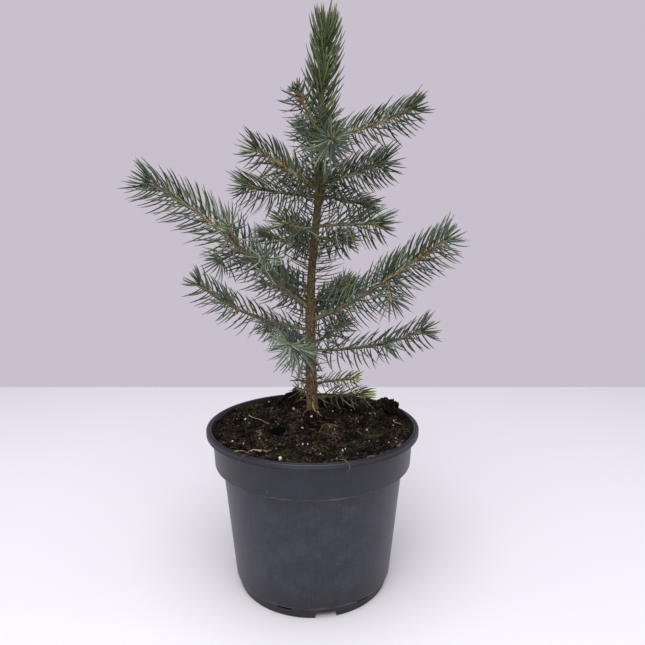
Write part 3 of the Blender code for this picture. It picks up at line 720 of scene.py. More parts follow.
# The trunk runs straight up through the crown with a slight lean, from root lobes at the soil
# to the bud at its tip. Its bark is grey-brown and flaky below and olive and ridged above.
TRUNK_FORM = (
    (152.5, -0.6, 6.1), (155.5, -0.6, 5.45), (162.0, -1.0, 5.2), (182.0, -1.8, 5.0), (214.0, -2.3, 4.8),
    (240.0, -2.3, 4.45), (262.0, -1.9, 3.75), (282.0, -1.0, 3.5), (300.0, 0.7, 3.45), (322.0, 2.9, 3.4),
    (345.0, 5.1, 3.25), (367.0, 6.2, 2.9), (395.0, 6.8, 2.3), (420.0, 7.2, 1.7), (445.0, 8.6, 1.5),
    (470.0, 10.3, 1.4), (479.0, 10.8, 1.7), (485.5, 11.0, 0.6),
)
ROOT_LOBES = 5
ROOT_LOBE_DEPTH = 0.1
ROOT_FLARE_TOP = 165 * MM
WHORLS = (174 * MM, 212 * MM, 245 * MM, 306 * MM, 352 * MM, 390 * MM)
LEADER_FOOT = 402 * MM
LEADER_TOP = 484 * MM
TRUNK_RING = 0.8 * MM
TRUNK_SIDES = 44
OLD_BARK_HEIGHT = 250 * MM
WHORL_REACH, WHORL_SWELLING = 5 * MM, 0.35 * MM
FLAKE_SIZE, FLAKE_STRETCH = 1.7 * MM, 0.45
GRAIN_SIZE, GRAIN_DEPTH = 0.8 * MM, 0.12 * MM
RIDGES, RIDGE_DEPTH, RIDGE_TWIST = 5, 0.1 * MM, 35 / 6 * MM
UPRIGHT = 0.9


def trunk_at(heights):
    """Centres and radii of the trunk at some heights."""
    rows = np.array(TRUNK_FORM) * MM
    across = np.interp(heights, rows[:, 0], rows[:, 1])
    centres = np.stack([across, np.full_like(across, TRUNK_SETBACK), heights], axis=1)
    return centres, np.interp(heights, rows[:, 0], rows[:, 2])


def square_to(ahead):
    """Two directions square to each direction of a limb: one beside it and one over it."""
    upright = abs(ahead[:, 2]).mean() > UPRIGHT
    side = unit(np.cross(ahead, (1.0, 0.0, 0.0) if upright else (0.0, 0.0, 1.0)))
    return side, np.cross(ahead, side)


def limb(skin, row, radii, sides, offsets=0.0, slots=0):
    """Add a round limb along a row of points, with its ends closed."""
    side, over = square_to(unit(np.gradient(row, axis=0)))
    turns = np.arange(sides) * math.tau / sides
    out = side[:, None] * np.cos(turns)[None, :, None] + over[:, None] * np.sin(turns)[None, :, None]
    points = row[:, None] + out * (radii[:, None] + offsets)[..., None]
    index = np.arange(len(row) * sides).reshape(len(row), sides)
    beside = np.roll(index, -1, axis=1)
    walls = np.stack([index[:-1], beside[:-1], beside[1:], index[1:]], axis=-1).reshape(-1, 4)
    first = skin.count
    skin.add(points.reshape(-1, 3), walls, slots)
    skin.close([first + sides - 1 - place for place in range(sides)])
    skin.close([first + index[-1, 0] + place for place in range(sides)])


def trunk_relief(row, radii):
    """How far the bark stands off the trunk: root lobes, whorl swellings, flakes and ridges."""
    relief = np.zeros((len(row), TRUNK_SIDES))
    foot = row[0][2]
    for ring, (place, radius) in enumerate(zip(row, radii)):
        height = place[2]
        flare = max(0.0, 1.0 - (height - foot) / (ROOT_FLARE_TOP - foot)) ** 2
        swelling = sum(math.exp(-((height - whorl) / WHORL_REACH) ** 2) for whorl in WHORLS)
        old = max(0.0, 1.0 - (height - foot) / OLD_BARK_HEIGHT)
        for step in range(TRUNK_SIDES):
            turn = step * math.tau / TRUNK_SIDES
            spot = Vector((math.cos(turn) * radius, math.sin(turn) * radius, height * FLAKE_STRETCH))
            flakes = abs(noise.noise(spot / FLAKE_SIZE)) * (0.2 + 0.35 * old) * MM
            grain = noise.noise(spot / GRAIN_SIZE) * GRAIN_DEPTH
            ridges = math.cos(RIDGES * turn + height / RIDGE_TWIST) * (1.0 - old) * RIDGE_DEPTH
            lobes = ROOT_LOBE_DEPTH * flare * math.cos(ROOT_LOBES * turn) * radius
            relief[ring, step] = lobes + WHORL_SWELLING * swelling + flakes + grain + ridges
    return relief


def bark():
    """Spruce bark: rust at the foot, grey-brown above, olive towards the top, flecked pale."""
    skin = Finish("trunk_bark", {"Roughness": 0.88, "Specular IOR Level": 0.25})
    height = skin.height()
    flakes = skin.cloud((1.3 * MM, 1.3 * MM, 2.4 * MM), 5.0, 0.72)
    patches = skin.cloud((5 * MM, 5 * MM, 11 * MM), 3.0)
    rust = ((0.38, paint(28, 18, 12)), (0.51, paint(104, 80, 58)), (0.66, paint(170, 146, 112)))
    olive = ((0.32, paint(30, 27, 15)), (0.52, paint(78, 72, 42)), (0.72, paint(124, 117, 78)))
    older = skin.rise(height, 180 * MM, 270 * MM)
    lichen = skin.rise(skin.cloud((3 * MM, 3 * MM, 6 * MM), 4.0, 0.7), 0.56, 0.66)
    colour = skin.coated(
        skin.mix(older, skin.ramp(flakes, rust), skin.ramp(flakes, olive)),
        (skin.rise(height, LEADER_FOOT - 12 * MM, LEADER_FOOT + 12 * MM), paint(94, 92, 58)),
        (skin.rise(patches, 0.45, 0.62) * 0.3, paint(112, 82, 56)),
        (lichen * (0.55 - 0.35 * skin.rise(height, 200 * MM, 290 * MM)), paint(134, 130, 104)),
    )
    return skin.feed(Base_Color=colour, Normal=skin.relief(flakes, 0.5 * MM))


trunk_row, trunk_radii = trunk_at(np.arange(trunk_low.z, trunk_high.z, TRUNK_RING))
trunk_skin = Skin()
limb(trunk_skin, trunk_row, trunk_radii, TRUNK_SIDES, trunk_relief(trunk_row, trunk_radii))
trunk = piece_of(trunk_skin.mesh("trunk_and_bark"), "trunk_bark", bark())
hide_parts("trunk")


# The shoots stand round the trunk in loose whorls. Each keeps its heading while its rise turns
# evenly along its length, and some carry short spurs. Older wood is brown, young wood straw.
# The rows are in millimetres and degrees, and start with the height on the trunk.
Shoot = namedtuple("Shoot", "name height heading length rises foot_radius needles young scales tint "
                            "density spurs spread tuft sway", defaults=(1.3, (), 46, 0.85, 20))
STEM_STEP = 1.5 * MM
STEM_TIP_RADIUS = 1.2 * MM
STEM_SIDES = 14
STEM_AT_FOOT, STEM_AT_TIP = 0.85, 0.6
STEM_RIDGES, STEM_RIDGE_DEPTH = 4, 0.07
STEM_TWIST = 1.4 * MM
STEM_KNOTS = 0.05
COLLAR_REACH, COLLAR_DEPTH = 4 * MM, 0.5
SHOOTS = (
    Shoot("top_left", 388, -125, 56, (76, 44, 42), 2.0, 0.80, 0.3, (0.8, 0.9), "mixed",
          spread=60, tuft=0.4),
    Shoot("top_right", 397, -9, 83, (8, 24), 1.6, 0.90, 0.0, (0.84,), "mixed", 1.6, spread=43),
    Shoot("top_front", 386, -79, 53, (4, 3), 1.6, 0.90, 0.0, (), "pale_green", 1.9, spread=54, sway=32),
    Shoot("top_back", 392, 82, 54, (30, 44), 1.6, 0.90, 0.0, (0.9,), "deep"),
    Shoot("top_back_left", 383, 118, 46, (34, 44), 1.5, 0.80, 0.0, (0.9,), "deep"),
    Shoot("upper_right", 358, 8, 61, (18, 20), 1.7, 0.95, 0.35, (0.93,), "green", 2.3, spread=54, tuft=1.0),
    Shoot("upper_right_back", 349, 38, 61, (-5, -9), 1.5, 0.80, 0.3, (0.9,), "deep"),
    Shoot("upper_left_front", 353, -149, 67, (26, 31, 20), 1.7, 0.95, 0.35, (0.6, 0.88), "green", 1.25,
          tuft=0.9),
    Shoot("upper_left", 348, 167, 68, (4, 13), 1.6, 1.0, 0.7, (0.9,), "green", 1.45),
    Shoot("upper_back", 354, 88, 62, (10, 24), 1.7, 0.90, 0.2, (0.9,), "deep"),
    Shoot("upper_back_left", 360, 130, 55, (12, 26), 1.5, 0.85, 0.2, (0.9,), "deep"),
    Shoot("middle_right", 322, -15, 57, (3, 1), 1.4, 1.0, 1.0, (0.94,), "green", 1.35),
    Shoot("middle_left_front", 317, -122, 46, (6, 13), 1.5, 0.85, 0.5, (0.92,), "mixed", 1.4),
    Shoot("middle_left", 301, 154, 51, (18, 8), 1.5, 0.80, 0.3, (0.92,), "deep"),
    Shoot("middle_back_right", 312, 58, 56, (-6, 2), 1.5, 0.85, 0.3, (0.92,), "deep"),
    Shoot("middle_back", 306, 108, 60, (6, 18), 1.5, 0.90, 0.3, (0.92,), "deep"),
    Shoot("big_left", 247, -171, 178, (38.5, 43.5, 41, 25.5), 2.5, 1.12, 0.45, (0.41, 0.9, 0.96), "mixed",
          1.27, ((0.31, -84, 24, 30), (0.36, 112, 10, 28), (0.46, 150, -22, 26), (0.47, -100, 34, 34)),
          44, 0.88, 13),
    Shoot("big_right", 237, -6, 141, (20, 36, 34), 2.4, 1.1, 0.5, (0.51, 0.8, 0.84, 0.88, 0.93), "mixed", 1.6,
          ((0.52, 66, 12, 30), (0.56, -88, -34, 28)), 54, 0.9, 24),
    Shoot("short_left", 262, 137, 43, (32, 22), 1.5, 0.60, 0.6, (0.9,), "deep", 0.95),
    Shoot("short_right", 254, 39, 50, (12, 17), 1.5, 0.65, 0.6, (0.9,), "deep"),
    Shoot("big_back_right", 243, 66, 92, (6, 20), 2.2, 0.90, 0.5, (0.55, 0.9), "deep", 1.5,
          ((0.55, 20, 14, 28),)),
    Shoot("big_back_left", 251, 112, 98, (4, 20), 2.2, 0.80, 0.5, (0.55, 0.9), "deep", 1.0,
          ((0.55, 158, 10, 28),)),
    Shoot("low_left", 228, -170, 110, (10, 21.5, 43.5), 1.5, 0.84, 1.0, (0.93,), "mixed", 0.86,
          ((0.62, 128, 16, 24),), 52, 0.95),
    Shoot("low_front", 206, -103, 73, (17, 19), 2.0, 0.92, 0.4, (), "pale", 1.35, spread=54, sway=34),
    Shoot("low_right", 209, 3, 106, (-2, 8.5, 24), 1.5, 0.82, 0.75, (0.88,), "mixed", 1.05,
          ((0.6, -62, 10, 13),), 54, 1.1),
    Shoot("low_back_right", 215, 62, 70, (0, 16), 1.8, 0.80, 0.5, (0.5, 0.9), "deep", 0.95),
    Shoot("low_back_left", 219, 124, 86, (-2, 6), 2.0, 0.80, 0.5, (0.5, 0.9), "deep"),
    Shoot("foot_left", 177, -150, 14, (22, 23), 0.8, 0.64, 1.0, (), "dull", 0.35, spread=66),
    Shoot("foot_right_front", 177, -18, 42, (14, 9), 1.2, 0.5, 1.0, (), "dull", 1.2),
    Shoot("foot_right", 163, 14, 49, (4, -4), 1.4, 0.78, 1.0, (), "dull", 1.3, sway=34),
    Shoot("foot_back", 173, 92, 54, (2, 16), 1.5, 0.65, 0.7, (), "dull", 1.2),
    Shoot("foot_back_left", 163, 122, 28, (4, 10), 1.4, 0.4, 0.7, (), "dull", 0.5),
)


def walk(start, heading, rises, length):
    """Evenly spaced points of a limb that keeps its heading while its rise turns evenly."""
    heading, length = math.radians(heading), length * MM
    steps = round(length / STEM_STEP)
    knots = np.linspace(0.0, 1.0, len(rises))
    rises = np.interp((np.arange(steps) + 0.5) / steps, knots, np.radians(rises))
    level = np.cos(rises)
    strides = np.stack([level * math.cos(heading), level * math.sin(heading), np.sin(rises)], axis=1)
    return np.concatenate([[start], start + np.cumsum(strides, axis=0) * length / steps])


def along(row, shares):
    """Places and directions at shares of the way along evenly spaced points."""
    reach = np.clip(shares, 0.0, 1.0) * (len(row) - 1)
    first = np.minimum(reach.astype(int), len(row) - 2)
    spans = row[first + 1] - row[first]
    return row[first] + spans * (reach - first)[:, None], unit(spans)


Axis = namedtuple("Axis", "row radii shoot spur")


def axes_of(entry):
    """The shoot's own axis and its spurs', as rows of points with their radii."""
    centre, _ = trunk_at(np.array([entry.height * MM]))
    foot_radius = entry.foot_radius * MM
    main = walk(centre[0], entry.heading, entry.rises, entry.length)
    tip_radius = max(STEM_TIP_RADIUS, STEM_AT_TIP * foot_radius)
    axes = [Axis(main, np.linspace(STEM_AT_FOOT * foot_radius, tip_radius, len(main)), entry, False)]
    for share, heading, rise, length in entry.spurs:
        start, _ = along(main, np.array([share]))
        row = walk(start[0], heading, (rise, rise), length)
        axes.append(Axis(row, np.full(len(row), STEM_TIP_RADIUS), entry, True))
    return axes


def stem_relief(row, radii):
    """Ridges that run down from each needle's foot, and a collar where the stem leaves."""
    reach = np.arange(len(row)) * STEM_STEP
    turns = np.arange(STEM_SIDES) * math.tau / STEM_SIDES
    ridges = np.cos(STEM_RIDGES * turns[None, :] + reach[:, None] / STEM_TWIST) * STEM_RIDGE_DEPTH
    collar = COLLAR_DEPTH * np.exp(-np.maximum(0.0, reach - COLLAR_REACH) / COLLAR_REACH)[:, None]
    knots = chance.normal(0.0, STEM_KNOTS, (len(row), STEM_SIDES))
    return radii[:, None] * (ridges + collar + knots)


def twig_wood(name, dark, middle, pale):
    """The skin of a shoot, ridged along its length."""
    wood = Finish(name, {"Roughness": 0.78, "Specular IOR Level": 0.3})
    fleck = wood.cloud(cube(0.9 * MM), 4.0, 0.65)
    colour = wood.ramp(fleck, ((0.35, dark), (0.5, middle), (0.68, pale)))
    return wood.feed(Base_Color=colour, Normal=wood.relief(fleck, 0.25 * MM))


OLD_WOOD, YOUNG_WOOD = 0, 1
old_wood = twig_wood("old_wood", paint(50, 47, 31), paint(100, 93, 65), paint(148, 138, 104))
young_wood = twig_wood("young_wood", paint(98, 85, 56), paint(148, 134, 96), paint(198, 184, 143))
axes = [axis for entry in SHOOTS for axis in axes_of(entry)]
stems = Skin()
for axis in axes:
    shares = np.arange(len(axis.row) - 1) / (len(axis.row) - 1)
    old = (shares < axis.shoot.young) & (not axis.spur)
    ages = np.repeat(np.where(old, OLD_WOOD, YOUNG_WOOD), STEM_SIDES)
    limb(stems, axis.row, axis.radii, STEM_SIDES, stem_relief(axis.row, axis.radii), ages)
boughs = piece_of(stems.mesh("boughs_and_stems"), "twig_bark", old_wood, young_wood)
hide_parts(*(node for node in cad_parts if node.endswith("_bough")))


# The needles stand all round each shoot in a spiral, one to a peg of bark. They are stiff,
# four-sided and slightly curved, lean forwards above the shoot and wide below it, and close
# over the bud at its tip. A wax bloom makes some of them bluer and paler than others. It lies
# mostly on their upper sides and on fewer sides of the needles that hang, so it is also a
# painted highlight on their tops and painted shade on the hanging ones.
GOLDEN_TURN = math.radians(137.5)
NEEDLE_LENGTH = 27 * MM
NEEDLE_WIDTH = 1.6 * MM
NEEDLE_THINNESS = 0.85
NEEDLE_FORM = ((0.0, 0.5), (0.07, 0.7), (0.25, 0.95), (0.5, 1.0), (0.72, 0.84), (0.89, 0.5), (1.0, 0.05))
LENGTH_RANGE = (0.88, 1.08)
WIDTH_RANGE = (0.85, 1.1)
TURN_SPREAD = 0.08
ROOT_DEPTH, TIP_ROOT_DEPTH = 0.9, 0.5
SHORTEST_TIP = 0.62
LONGEST_AT, SHORTER_AWAY = 0.6, 0.2
TUFT_FROM = 0.8
LEAN_AT_FOOT = 62
LEAN_SWAY = 20
LEAN_SPREAD = 3.5
LEAN_EASE, TUFT_EASE = 1.5, 0.6
FOOT_TO_TIP = 0.78
SICKLE = 0.26
SICKLE_RANGE = (0.7, 1.3)
WAVER = 0.03
HANGING = -0.3
BARE_SHARE = 0.07
BARE_FOOT = 6
TIP_NEEDLES = 16
TIP_FROM = 0.985
TIP_LEAN = 10
SPUR_LENGTH = 0.82
SPUR_SPREAD = 58
SPUR_SHARE = 0.55
SPUR_TIPS = 16
DULL_TIPS = 4
DULL_WIDTH = 0.75
BRUSH_STEPS, BRUSH_PER_MM = 6, 0.3
CROWDED = (1.0, 0.75, 0.5)
SAMPLED = (0.3, 0.5, 0.7, 0.85, 1.0)
NEEDLE_TINTS = {
    "needles_pale_blue": (77, 92, 83), "needles_blue_green": (57, 69, 59), "needles_green": (60, 70, 45),
    "needles_deep_green": (44, 52, 35), "needles_olive": (66, 68, 42), "needles_pale_green": (80, 90, 74),
}
TINT_SHARES = {
    "pale": (0.45, 0.1, 0.0, 0.0, 0.0, 0.45),
    "pale_green": (0.2, 0.0, 0.1, 0.0, 0.0, 0.7),
    "mixed": (0.2, 0.32, 0.25, 0.18, 0.0, 0.05),
    "green": (0.1, 0.2, 0.35, 0.27, 0.0, 0.08),
    # The deep mix, given to the shoots at the back of the crown and the needles on the trunk, is darker:
    # painted shade inside the crown.
    "deep": (0.06, 0.28, 0.33, 0.33, 0.0, 0.0),
    "dull": (0.0, 0.04, 0.18, 0.33, 0.45, 0.0),
    "frosted": (1.0, 0.0, 0.0, 0.0, 0.0, 0.0),
}
Needles = namedtuple("Needles", "roots ahead directions out lengths widths tints")


def in_spiral(row, radii, length, first, leans, per_mm, tint, tips=TIP_NEEDLES, tuft=1.0, wide=1.0,
              sway=LEAN_SWAY):
    """Needles in a spiral round a row of points, denser towards its tip, and a tuft over it.

    The leans say by how many degrees the needles stand off the row at its foot and its end.
    """
    foot_lean, end_lean, tip_lean = np.radians((*leans, TIP_LEAN))
    reach = np.linalg.norm(np.diff(row, axis=0), axis=1).sum()
    count = int(reach * (1.0 - first) / MM * per_mm)
    total = count + tips
    shares = (np.arange(count) + chance.uniform(0.1, 0.9, count)) / count
    shares = first + (1.0 - first) * shares ** FOOT_TO_TIP
    shares = np.concatenate([shares, chance.uniform(TIP_FROM, 1.0, tips)])
    is_tip = np.arange(total) >= count
    centres, ahead = along(row, shares)
    side, over = square_to(ahead)
    turns = np.arange(total) * GOLDEN_TURN + chance.normal(0.0, TURN_SPREAD, total)
    out = swung(side, over, turns)
    lean = foot_lean + (end_lean - foot_lean) * shares ** LEAN_EASE - math.radians(sway) * out[:, 2]
    tip_reach = chance.uniform(0.0, 1.0, total)
    lean = np.where(is_tip, tip_lean + (end_lean - tip_lean) * tip_reach ** TUFT_EASE, lean)
    lean += chance.normal(0.0, math.radians(LEAN_SPREAD), total)
    directions = unit(swung(ahead, out, lean))
    stem_radii = np.interp(shares, np.linspace(0.0, 1.0, len(radii)), radii)
    roots = centres + out * (stem_radii * np.where(is_tip, TIP_ROOT_DEPTH, ROOT_DEPTH))[:, None]
    sizes = length * chance.uniform(*LENGTH_RANGE, total)
    tip_sizes = SHORTEST_TIP + (1.0 - SHORTEST_TIP) * tip_reach
    sizes *= np.where(is_tip, tip_sizes, 1.0 - SHORTER_AWAY * abs(shares - LONGEST_AT))
    sizes *= np.interp(shares, (TUFT_FROM, 1.0), (1.0, tuft))
    widths = NEEDLE_WIDTH * wide * chance.uniform(*WIDTH_RANGE, total)
    tints = chance.choice(len(NEEDLE_TINTS), size=total, p=TINT_SHARES[tint])
    return Needles(roots, ahead, directions, out, sizes, widths, tints)


def chosen(needles, kept):
    """The needles that are kept."""
    return Needles(*(values[kept] for values in needles))


def cut_to_room(needles, hugs_trunk=False):
    """Shorten or leave out the needles that would enter the trunk, the soil or the pot."""
    best = np.zeros(len(needles.roots))
    for size in reversed(CROWDED):
        clear = np.ones(len(best), bool)
        for share in SAMPLED:
            samples = needles.roots + needles.directions * (needles.lengths * size * share)[:, None]
            centres, radii = trunk_at(samples[:, 2])
            if not hugs_trunk:
                apart = reach_across(samples - centres)
                clear &= (apart > radii + NEEDLE_WIDTH) | (samples[:, 2] > TRUNK_FORM[-1][0] * MM)
            ground = np.array([soil_height(x, y) for x, y in samples[:, :2]])
            clear &= samples[:, 2] > ground + NEEDLE_WIDTH
            within = reach_across(samples) < RIM_INNER_RADIUS - 2 * MM
            clear &= (samples[:, 2] > POT_HEIGHT + MM) | within
        best = np.where(clear, size, best)
    return chosen(needles._replace(lengths=needles.lengths * best), best > 0)


def fan_of(axis):
    """All the needles of one axis; a spur's are shorter and paler, a shaded shoot's thinner."""
    entry = axis.shoot
    size = NEEDLE_LENGTH * entry.needles
    if axis.spur:
        tint = "pale" if entry.tint == "mixed" else entry.tint
        return in_spiral(axis.row, axis.radii, SPUR_LENGTH * size, BARE_SHARE, (LEAN_AT_FOOT, SPUR_SPREAD),
                         SPUR_SHARE * entry.density, tint, SPUR_TIPS)
    first = max(BARE_SHARE, BARE_FOOT / entry.length)
    tips, wide = (DULL_TIPS, DULL_WIDTH) if entry.tint == "dull" else (TIP_NEEDLES, 1.0)
    return in_spiral(axis.row, axis.radii, size, first, (LEAN_AT_FOOT, entry.spread), entry.density,
                     entry.tint, tips, entry.tuft, wide, entry.sway)


def brush(name, count, size, spread, tint):
    """A brush of short needles in the tip of a shoot."""
    row, radii = next((axis.row, axis.radii) for axis in axes if axis.shoot.name == name and not axis.spur)
    end = slice(-BRUSH_STEPS, None)
    return in_spiral(row[end], radii[end], size * MM, 0.0, (0, spread), BRUSH_PER_MM, tint, tips=count)


def on_trunk(foot, top, length, leans, per_mm, tint, wide=1.0, tips=0):
    """Needles that stand on a stretch of the trunk itself."""
    row, radii = trunk_at(np.arange(foot, top, STEM_STEP))
    return in_spiral(row, radii, length, 0.0, leans, per_mm, tint, tips, wide=wide)


grown = [cut_to_room(fan_of(axis)) for axis in axes]
FROSTED = (("big_left", 44, 9, 88), ("top_left", 10, 7, 60))
grown += [brush(*row, "frosted") for row in FROSTED]
TUFT_LEANS = (78, 68)
TRUNK_NEEDLES = (
    (258 * MM, 306 * MM, 27 * MM, TUFT_LEANS, 1.5, "deep", 0.85),
    (222 * MM, 252 * MM, 21 * MM, TUFT_LEANS, 0.9, "deep", 0.85),
    (184 * MM, 212 * MM, 20 * MM, TUFT_LEANS, 0.32, "deep", 0.85),
    (318 * MM, LEADER_FOOT, 0.85 * NEEDLE_LENGTH, (64, 44), 1.5, "mixed"),
)
grown += [cut_to_room(on_trunk(*row), hugs_trunk=True) for row in TRUNK_NEEDLES]

PARTING = 0.8
PARTED_SHARE = 0.72
leader = on_trunk(LEADER_FOOT, LEADER_TOP, 28 * MM, (40, 22), 2.1, "mixed", 1.25, 26)
parted = (leader.out[:, 1] < -PARTING) & (chance.uniform(0.0, 1.0, len(leader.out)) < PARTED_SHARE)
leader = cut_to_room(chosen(leader, ~parted), hugs_trunk=True)


def needle_wax(name, red, green, blue):
    """The finishes of one needle colour: underside, pale root, tip, and wax bloom on top, which is also a
    painted highlight.
    """
    shine = {"Roughness": 0.44, "Specular IOR Level": 0.45}
    colours = {
        "": paint(red, green, blue),
        "_root": paint(0.5 * red + 74, 0.5 * green + 74, 0.5 * blue + 48),
        "_tip": paint(0.7 * red + 54, 0.7 * green + 50, 0.7 * blue + 28),
        "_bloom": paint(1.4 * red + 22, 1.4 * green + 21, 1.4 * blue + 16),
    }
    return [Finish(name + part, {**shine, "Base Color": colour}) for part, colour in colours.items()]


ROOT_SPAN, TIP_SPAN = 0, len(NEEDLE_FORM) - 2
# The sides that take the pale bloom, chosen so that it lies mostly on top: wax bloom and a painted highlight.
BLOOM_AND_LIGHT_SIDES = 2
BLOOM_AND_LIGHT_STARTS = ((2, 3, 1), (0.6, 0.2, 0.2))
LEADER_BLOOM_AND_LIGHT_STARTS = ((2, 3, 1), (0.3, 0.35, 0.35))
NEEDLE_ROLL = math.radians(24)


def needle_mesh(name, needles, bloom=BLOOM_AND_LIGHT_STARTS):
    """One mesh of all the needles of a colour, each bowed like a sickle, its upper sides pale with bloom and
    painted highlight.
    """
    count = len(needles.roots)
    backward = unit(needles.out - needles.directions * (needles.out * needles.directions).sum(1)[:, None])
    bow = backward * (SICKLE * chance.uniform(*SICKLE_RANGE, count) * needles.lengths)[:, None]
    starts = needles.directions * needles.lengths[:, None] + bow
    lengths = np.linalg.norm(starts, axis=1)
    ahead = starts / lengths[:, None]
    level = unit(np.cross(ahead, UP))
    side = swung(level, np.cross(ahead, level), chance.normal(0.0, NEEDLE_ROLL, count))
    waver = chance.normal(0.0, WAVER, (count, 3)) * lengths[:, None]
    parts = (needles.roots, ahead, side, lengths, needles.widths, waver - bow)
    points, faces, spans, sides = spindles(*parts, NEEDLE_FORM, NEEDLE_THINNESS)
    numbers = np.arange(count)
    owners = np.concatenate([np.repeat(numbers, len(sides) // count - 2), np.repeat(numbers, 2)])
    starts, odds = bloom
    # Wax bloom and painted light: the pale finish goes mostly on the upper sides, and hanging needles get one
    # side fewer as painted shade.
    from_start = (sides - chance.choice(starts, size=count, p=odds)[owners]) % 4
    hangs = (needles.directions[:, 2] < HANGING)[owners]
    bloom_and_painted_light = from_start < np.where(hangs, BLOOM_AND_LIGHT_SIDES - 1, BLOOM_AND_LIGHT_SIDES)
    slots = np.select([spans == ROOT_SPAN, spans == TIP_SPAN, bloom_and_painted_light], [1, 2, 3], 0)
    skin = Skin()
    skin.add(points, faces, slots)
    return skin.mesh(name, smooth=False)


def gathered(fans, tint=None):
    """The needles of several fans together, of one colour or of all."""
    needles = Needles(*(np.concatenate(values) for values in zip(*fans)))
    return needles if tint is None else chosen(needles, needles.tints == tint)


foliage = [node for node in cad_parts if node.endswith("_foliage") and node != "leader_foliage"]
for tint, (name, body) in enumerate(NEEDLE_TINTS.items()):
    mesh = needle_mesh(name, gathered(grown, tint))
    spray = piece_of(mesh, "blue_green_needles", *needle_wax(name, *body))
    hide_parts("trunk_needles", *foliage)

leader_mesh = needle_mesh("needles_leader", leader, LEADER_BLOOM_AND_LIGHT_STARTS)
leader_spray = piece_of(leader_mesh, "leader_needles", *needle_wax("needles_leader", 54, 66, 38))
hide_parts("leader_foliage")


# Each needle stands on a woody peg that leans forwards off the stem and stays on when the
# needle falls, so the stems and the trunk are rough with them.
PEG_FORM = ((0.0, 1.0), (0.5, 0.85), (1.0, 0.7))
PEG_LENGTH, PEG_WIDTH = 1.7, 1.2
PEG_OUT, PEG_AHEAD, PEG_SUNK = 0.8, 0.6, 0.7


def pegs_under(needles, size):
    """Points and faces of the pegs at the feet of some needles."""
    lean = unit(needles.out * PEG_OUT + needles.ahead * PEG_AHEAD)
    starts = needles.roots - lean * PEG_SUNK * size
    side = unit(np.cross(lean, needles.ahead))
    lengths = np.full(len(starts), PEG_LENGTH * size)
    widths = np.full(len(starts), PEG_WIDTH * size)
    points, faces, _, _ = spindles(starts, lean, side, lengths, widths, 0 * starts, PEG_FORM, 0.8)
    return points, faces


bare = on_trunk(160 * MM, LEADER_FOOT, NEEDLE_LENGTH, TUFT_LEANS, 1.6, "deep")
pegs = Skin()
for needles, size, wood in ((gathered(grown), MM, 0), (leader, MM, 0), (bare, 0.8 * MM, 1)):
    pegs.add(*pegs_under(needles, size), wood)
piece_of(pegs.mesh("needle_pegs", smooth=False), "twig_bark", young_wood, old_wood)


# Buds close each shoot: a small cone of papery scales. Collars of old scales, rust brown and
# turned back, stay where each year's growth began.
SCALE_FORM = ((0.0, 0.55), (0.35, 1.0), (0.7, 0.85), (1.0, 0.2))
SCALE_WIDTH = 0.55
SCALE_THINNESS = 0.16
SCALE_TURN_SPREAD = 0.12
SCALE_LEAN_SPREAD = math.radians(7)
BUD_LAYERS = ((0.0, 9, 26), (0.25, 8, 18), (0.5, 7, 12), (0.75, 5, 6))
BUD_HEIGHT, BUD_RADIUS, BUD_SCALE_LENGTH = 0.6, 0.28, 0.62
BUD_CURL, OLD_CURL = -0.25, -0.1
BUD_SIZE, SHADED_BUD_SIZE, LEADER_BUD_SIZE = 4.6 * MM, 3 * MM, 6.5 * MM
OLD_RINGS = ((0.0, 62), (0.9, 44), (1.8, 30))
LEADER_RINGS = (474, 476, 478)
LEADER_SCALE, LEADER_SCALE_LEAN = 4.2 * MM, 44
RING_SCALES = 9
RING_RADIUS, RING_SCALE_LENGTH = 0.9, 3.1
BUD_SCALE, OLD_SCALE, DARK_SCALE = 0, 1, 2
scales = Skin()


def scale_ring(place, ahead, radius, count, length, lean, curl, slot):
    """A ring of scales round an axis, leaning out by some degrees and curling."""
    side = unit(np.cross(ahead, UP) + np.array([1e-6, 0.0, 0.0]))
    over = np.cross(ahead, side)
    turns = np.arange(count) * math.tau / count + chance.uniform(0.0, math.tau)
    turns += chance.normal(0.0, SCALE_TURN_SPREAD, count)
    out = swung(side, over, turns)
    leans = math.radians(lean) + chance.normal(0.0, SCALE_LEAN_SPREAD, count)
    directions = unit(swung(ahead, out, leans))
    flat = unit(np.cross(directions, out))
    lengths = length * chance.uniform(0.75, 1.1, count)
    bends = out * (curl * lengths)[:, None]
    parts = (place + out * radius, directions, flat, lengths, SCALE_WIDTH * lengths, bends)
    points, faces, _, _ = spindles(*parts, SCALE_FORM, SCALE_THINNESS)
    scales.add(points, faces, slot)


def bud(tip, ahead, size):
    """A closed bud: layers of scales, each set further on and closer to the axis."""
    for share, count, lean in BUD_LAYERS:
        place = tip + ahead * (share * BUD_HEIGHT * size)
        radius = size * BUD_RADIUS * (1.0 - share)
        scale_ring(place, ahead, radius, count, size * BUD_SCALE_LENGTH, lean, BUD_CURL, BUD_SCALE)


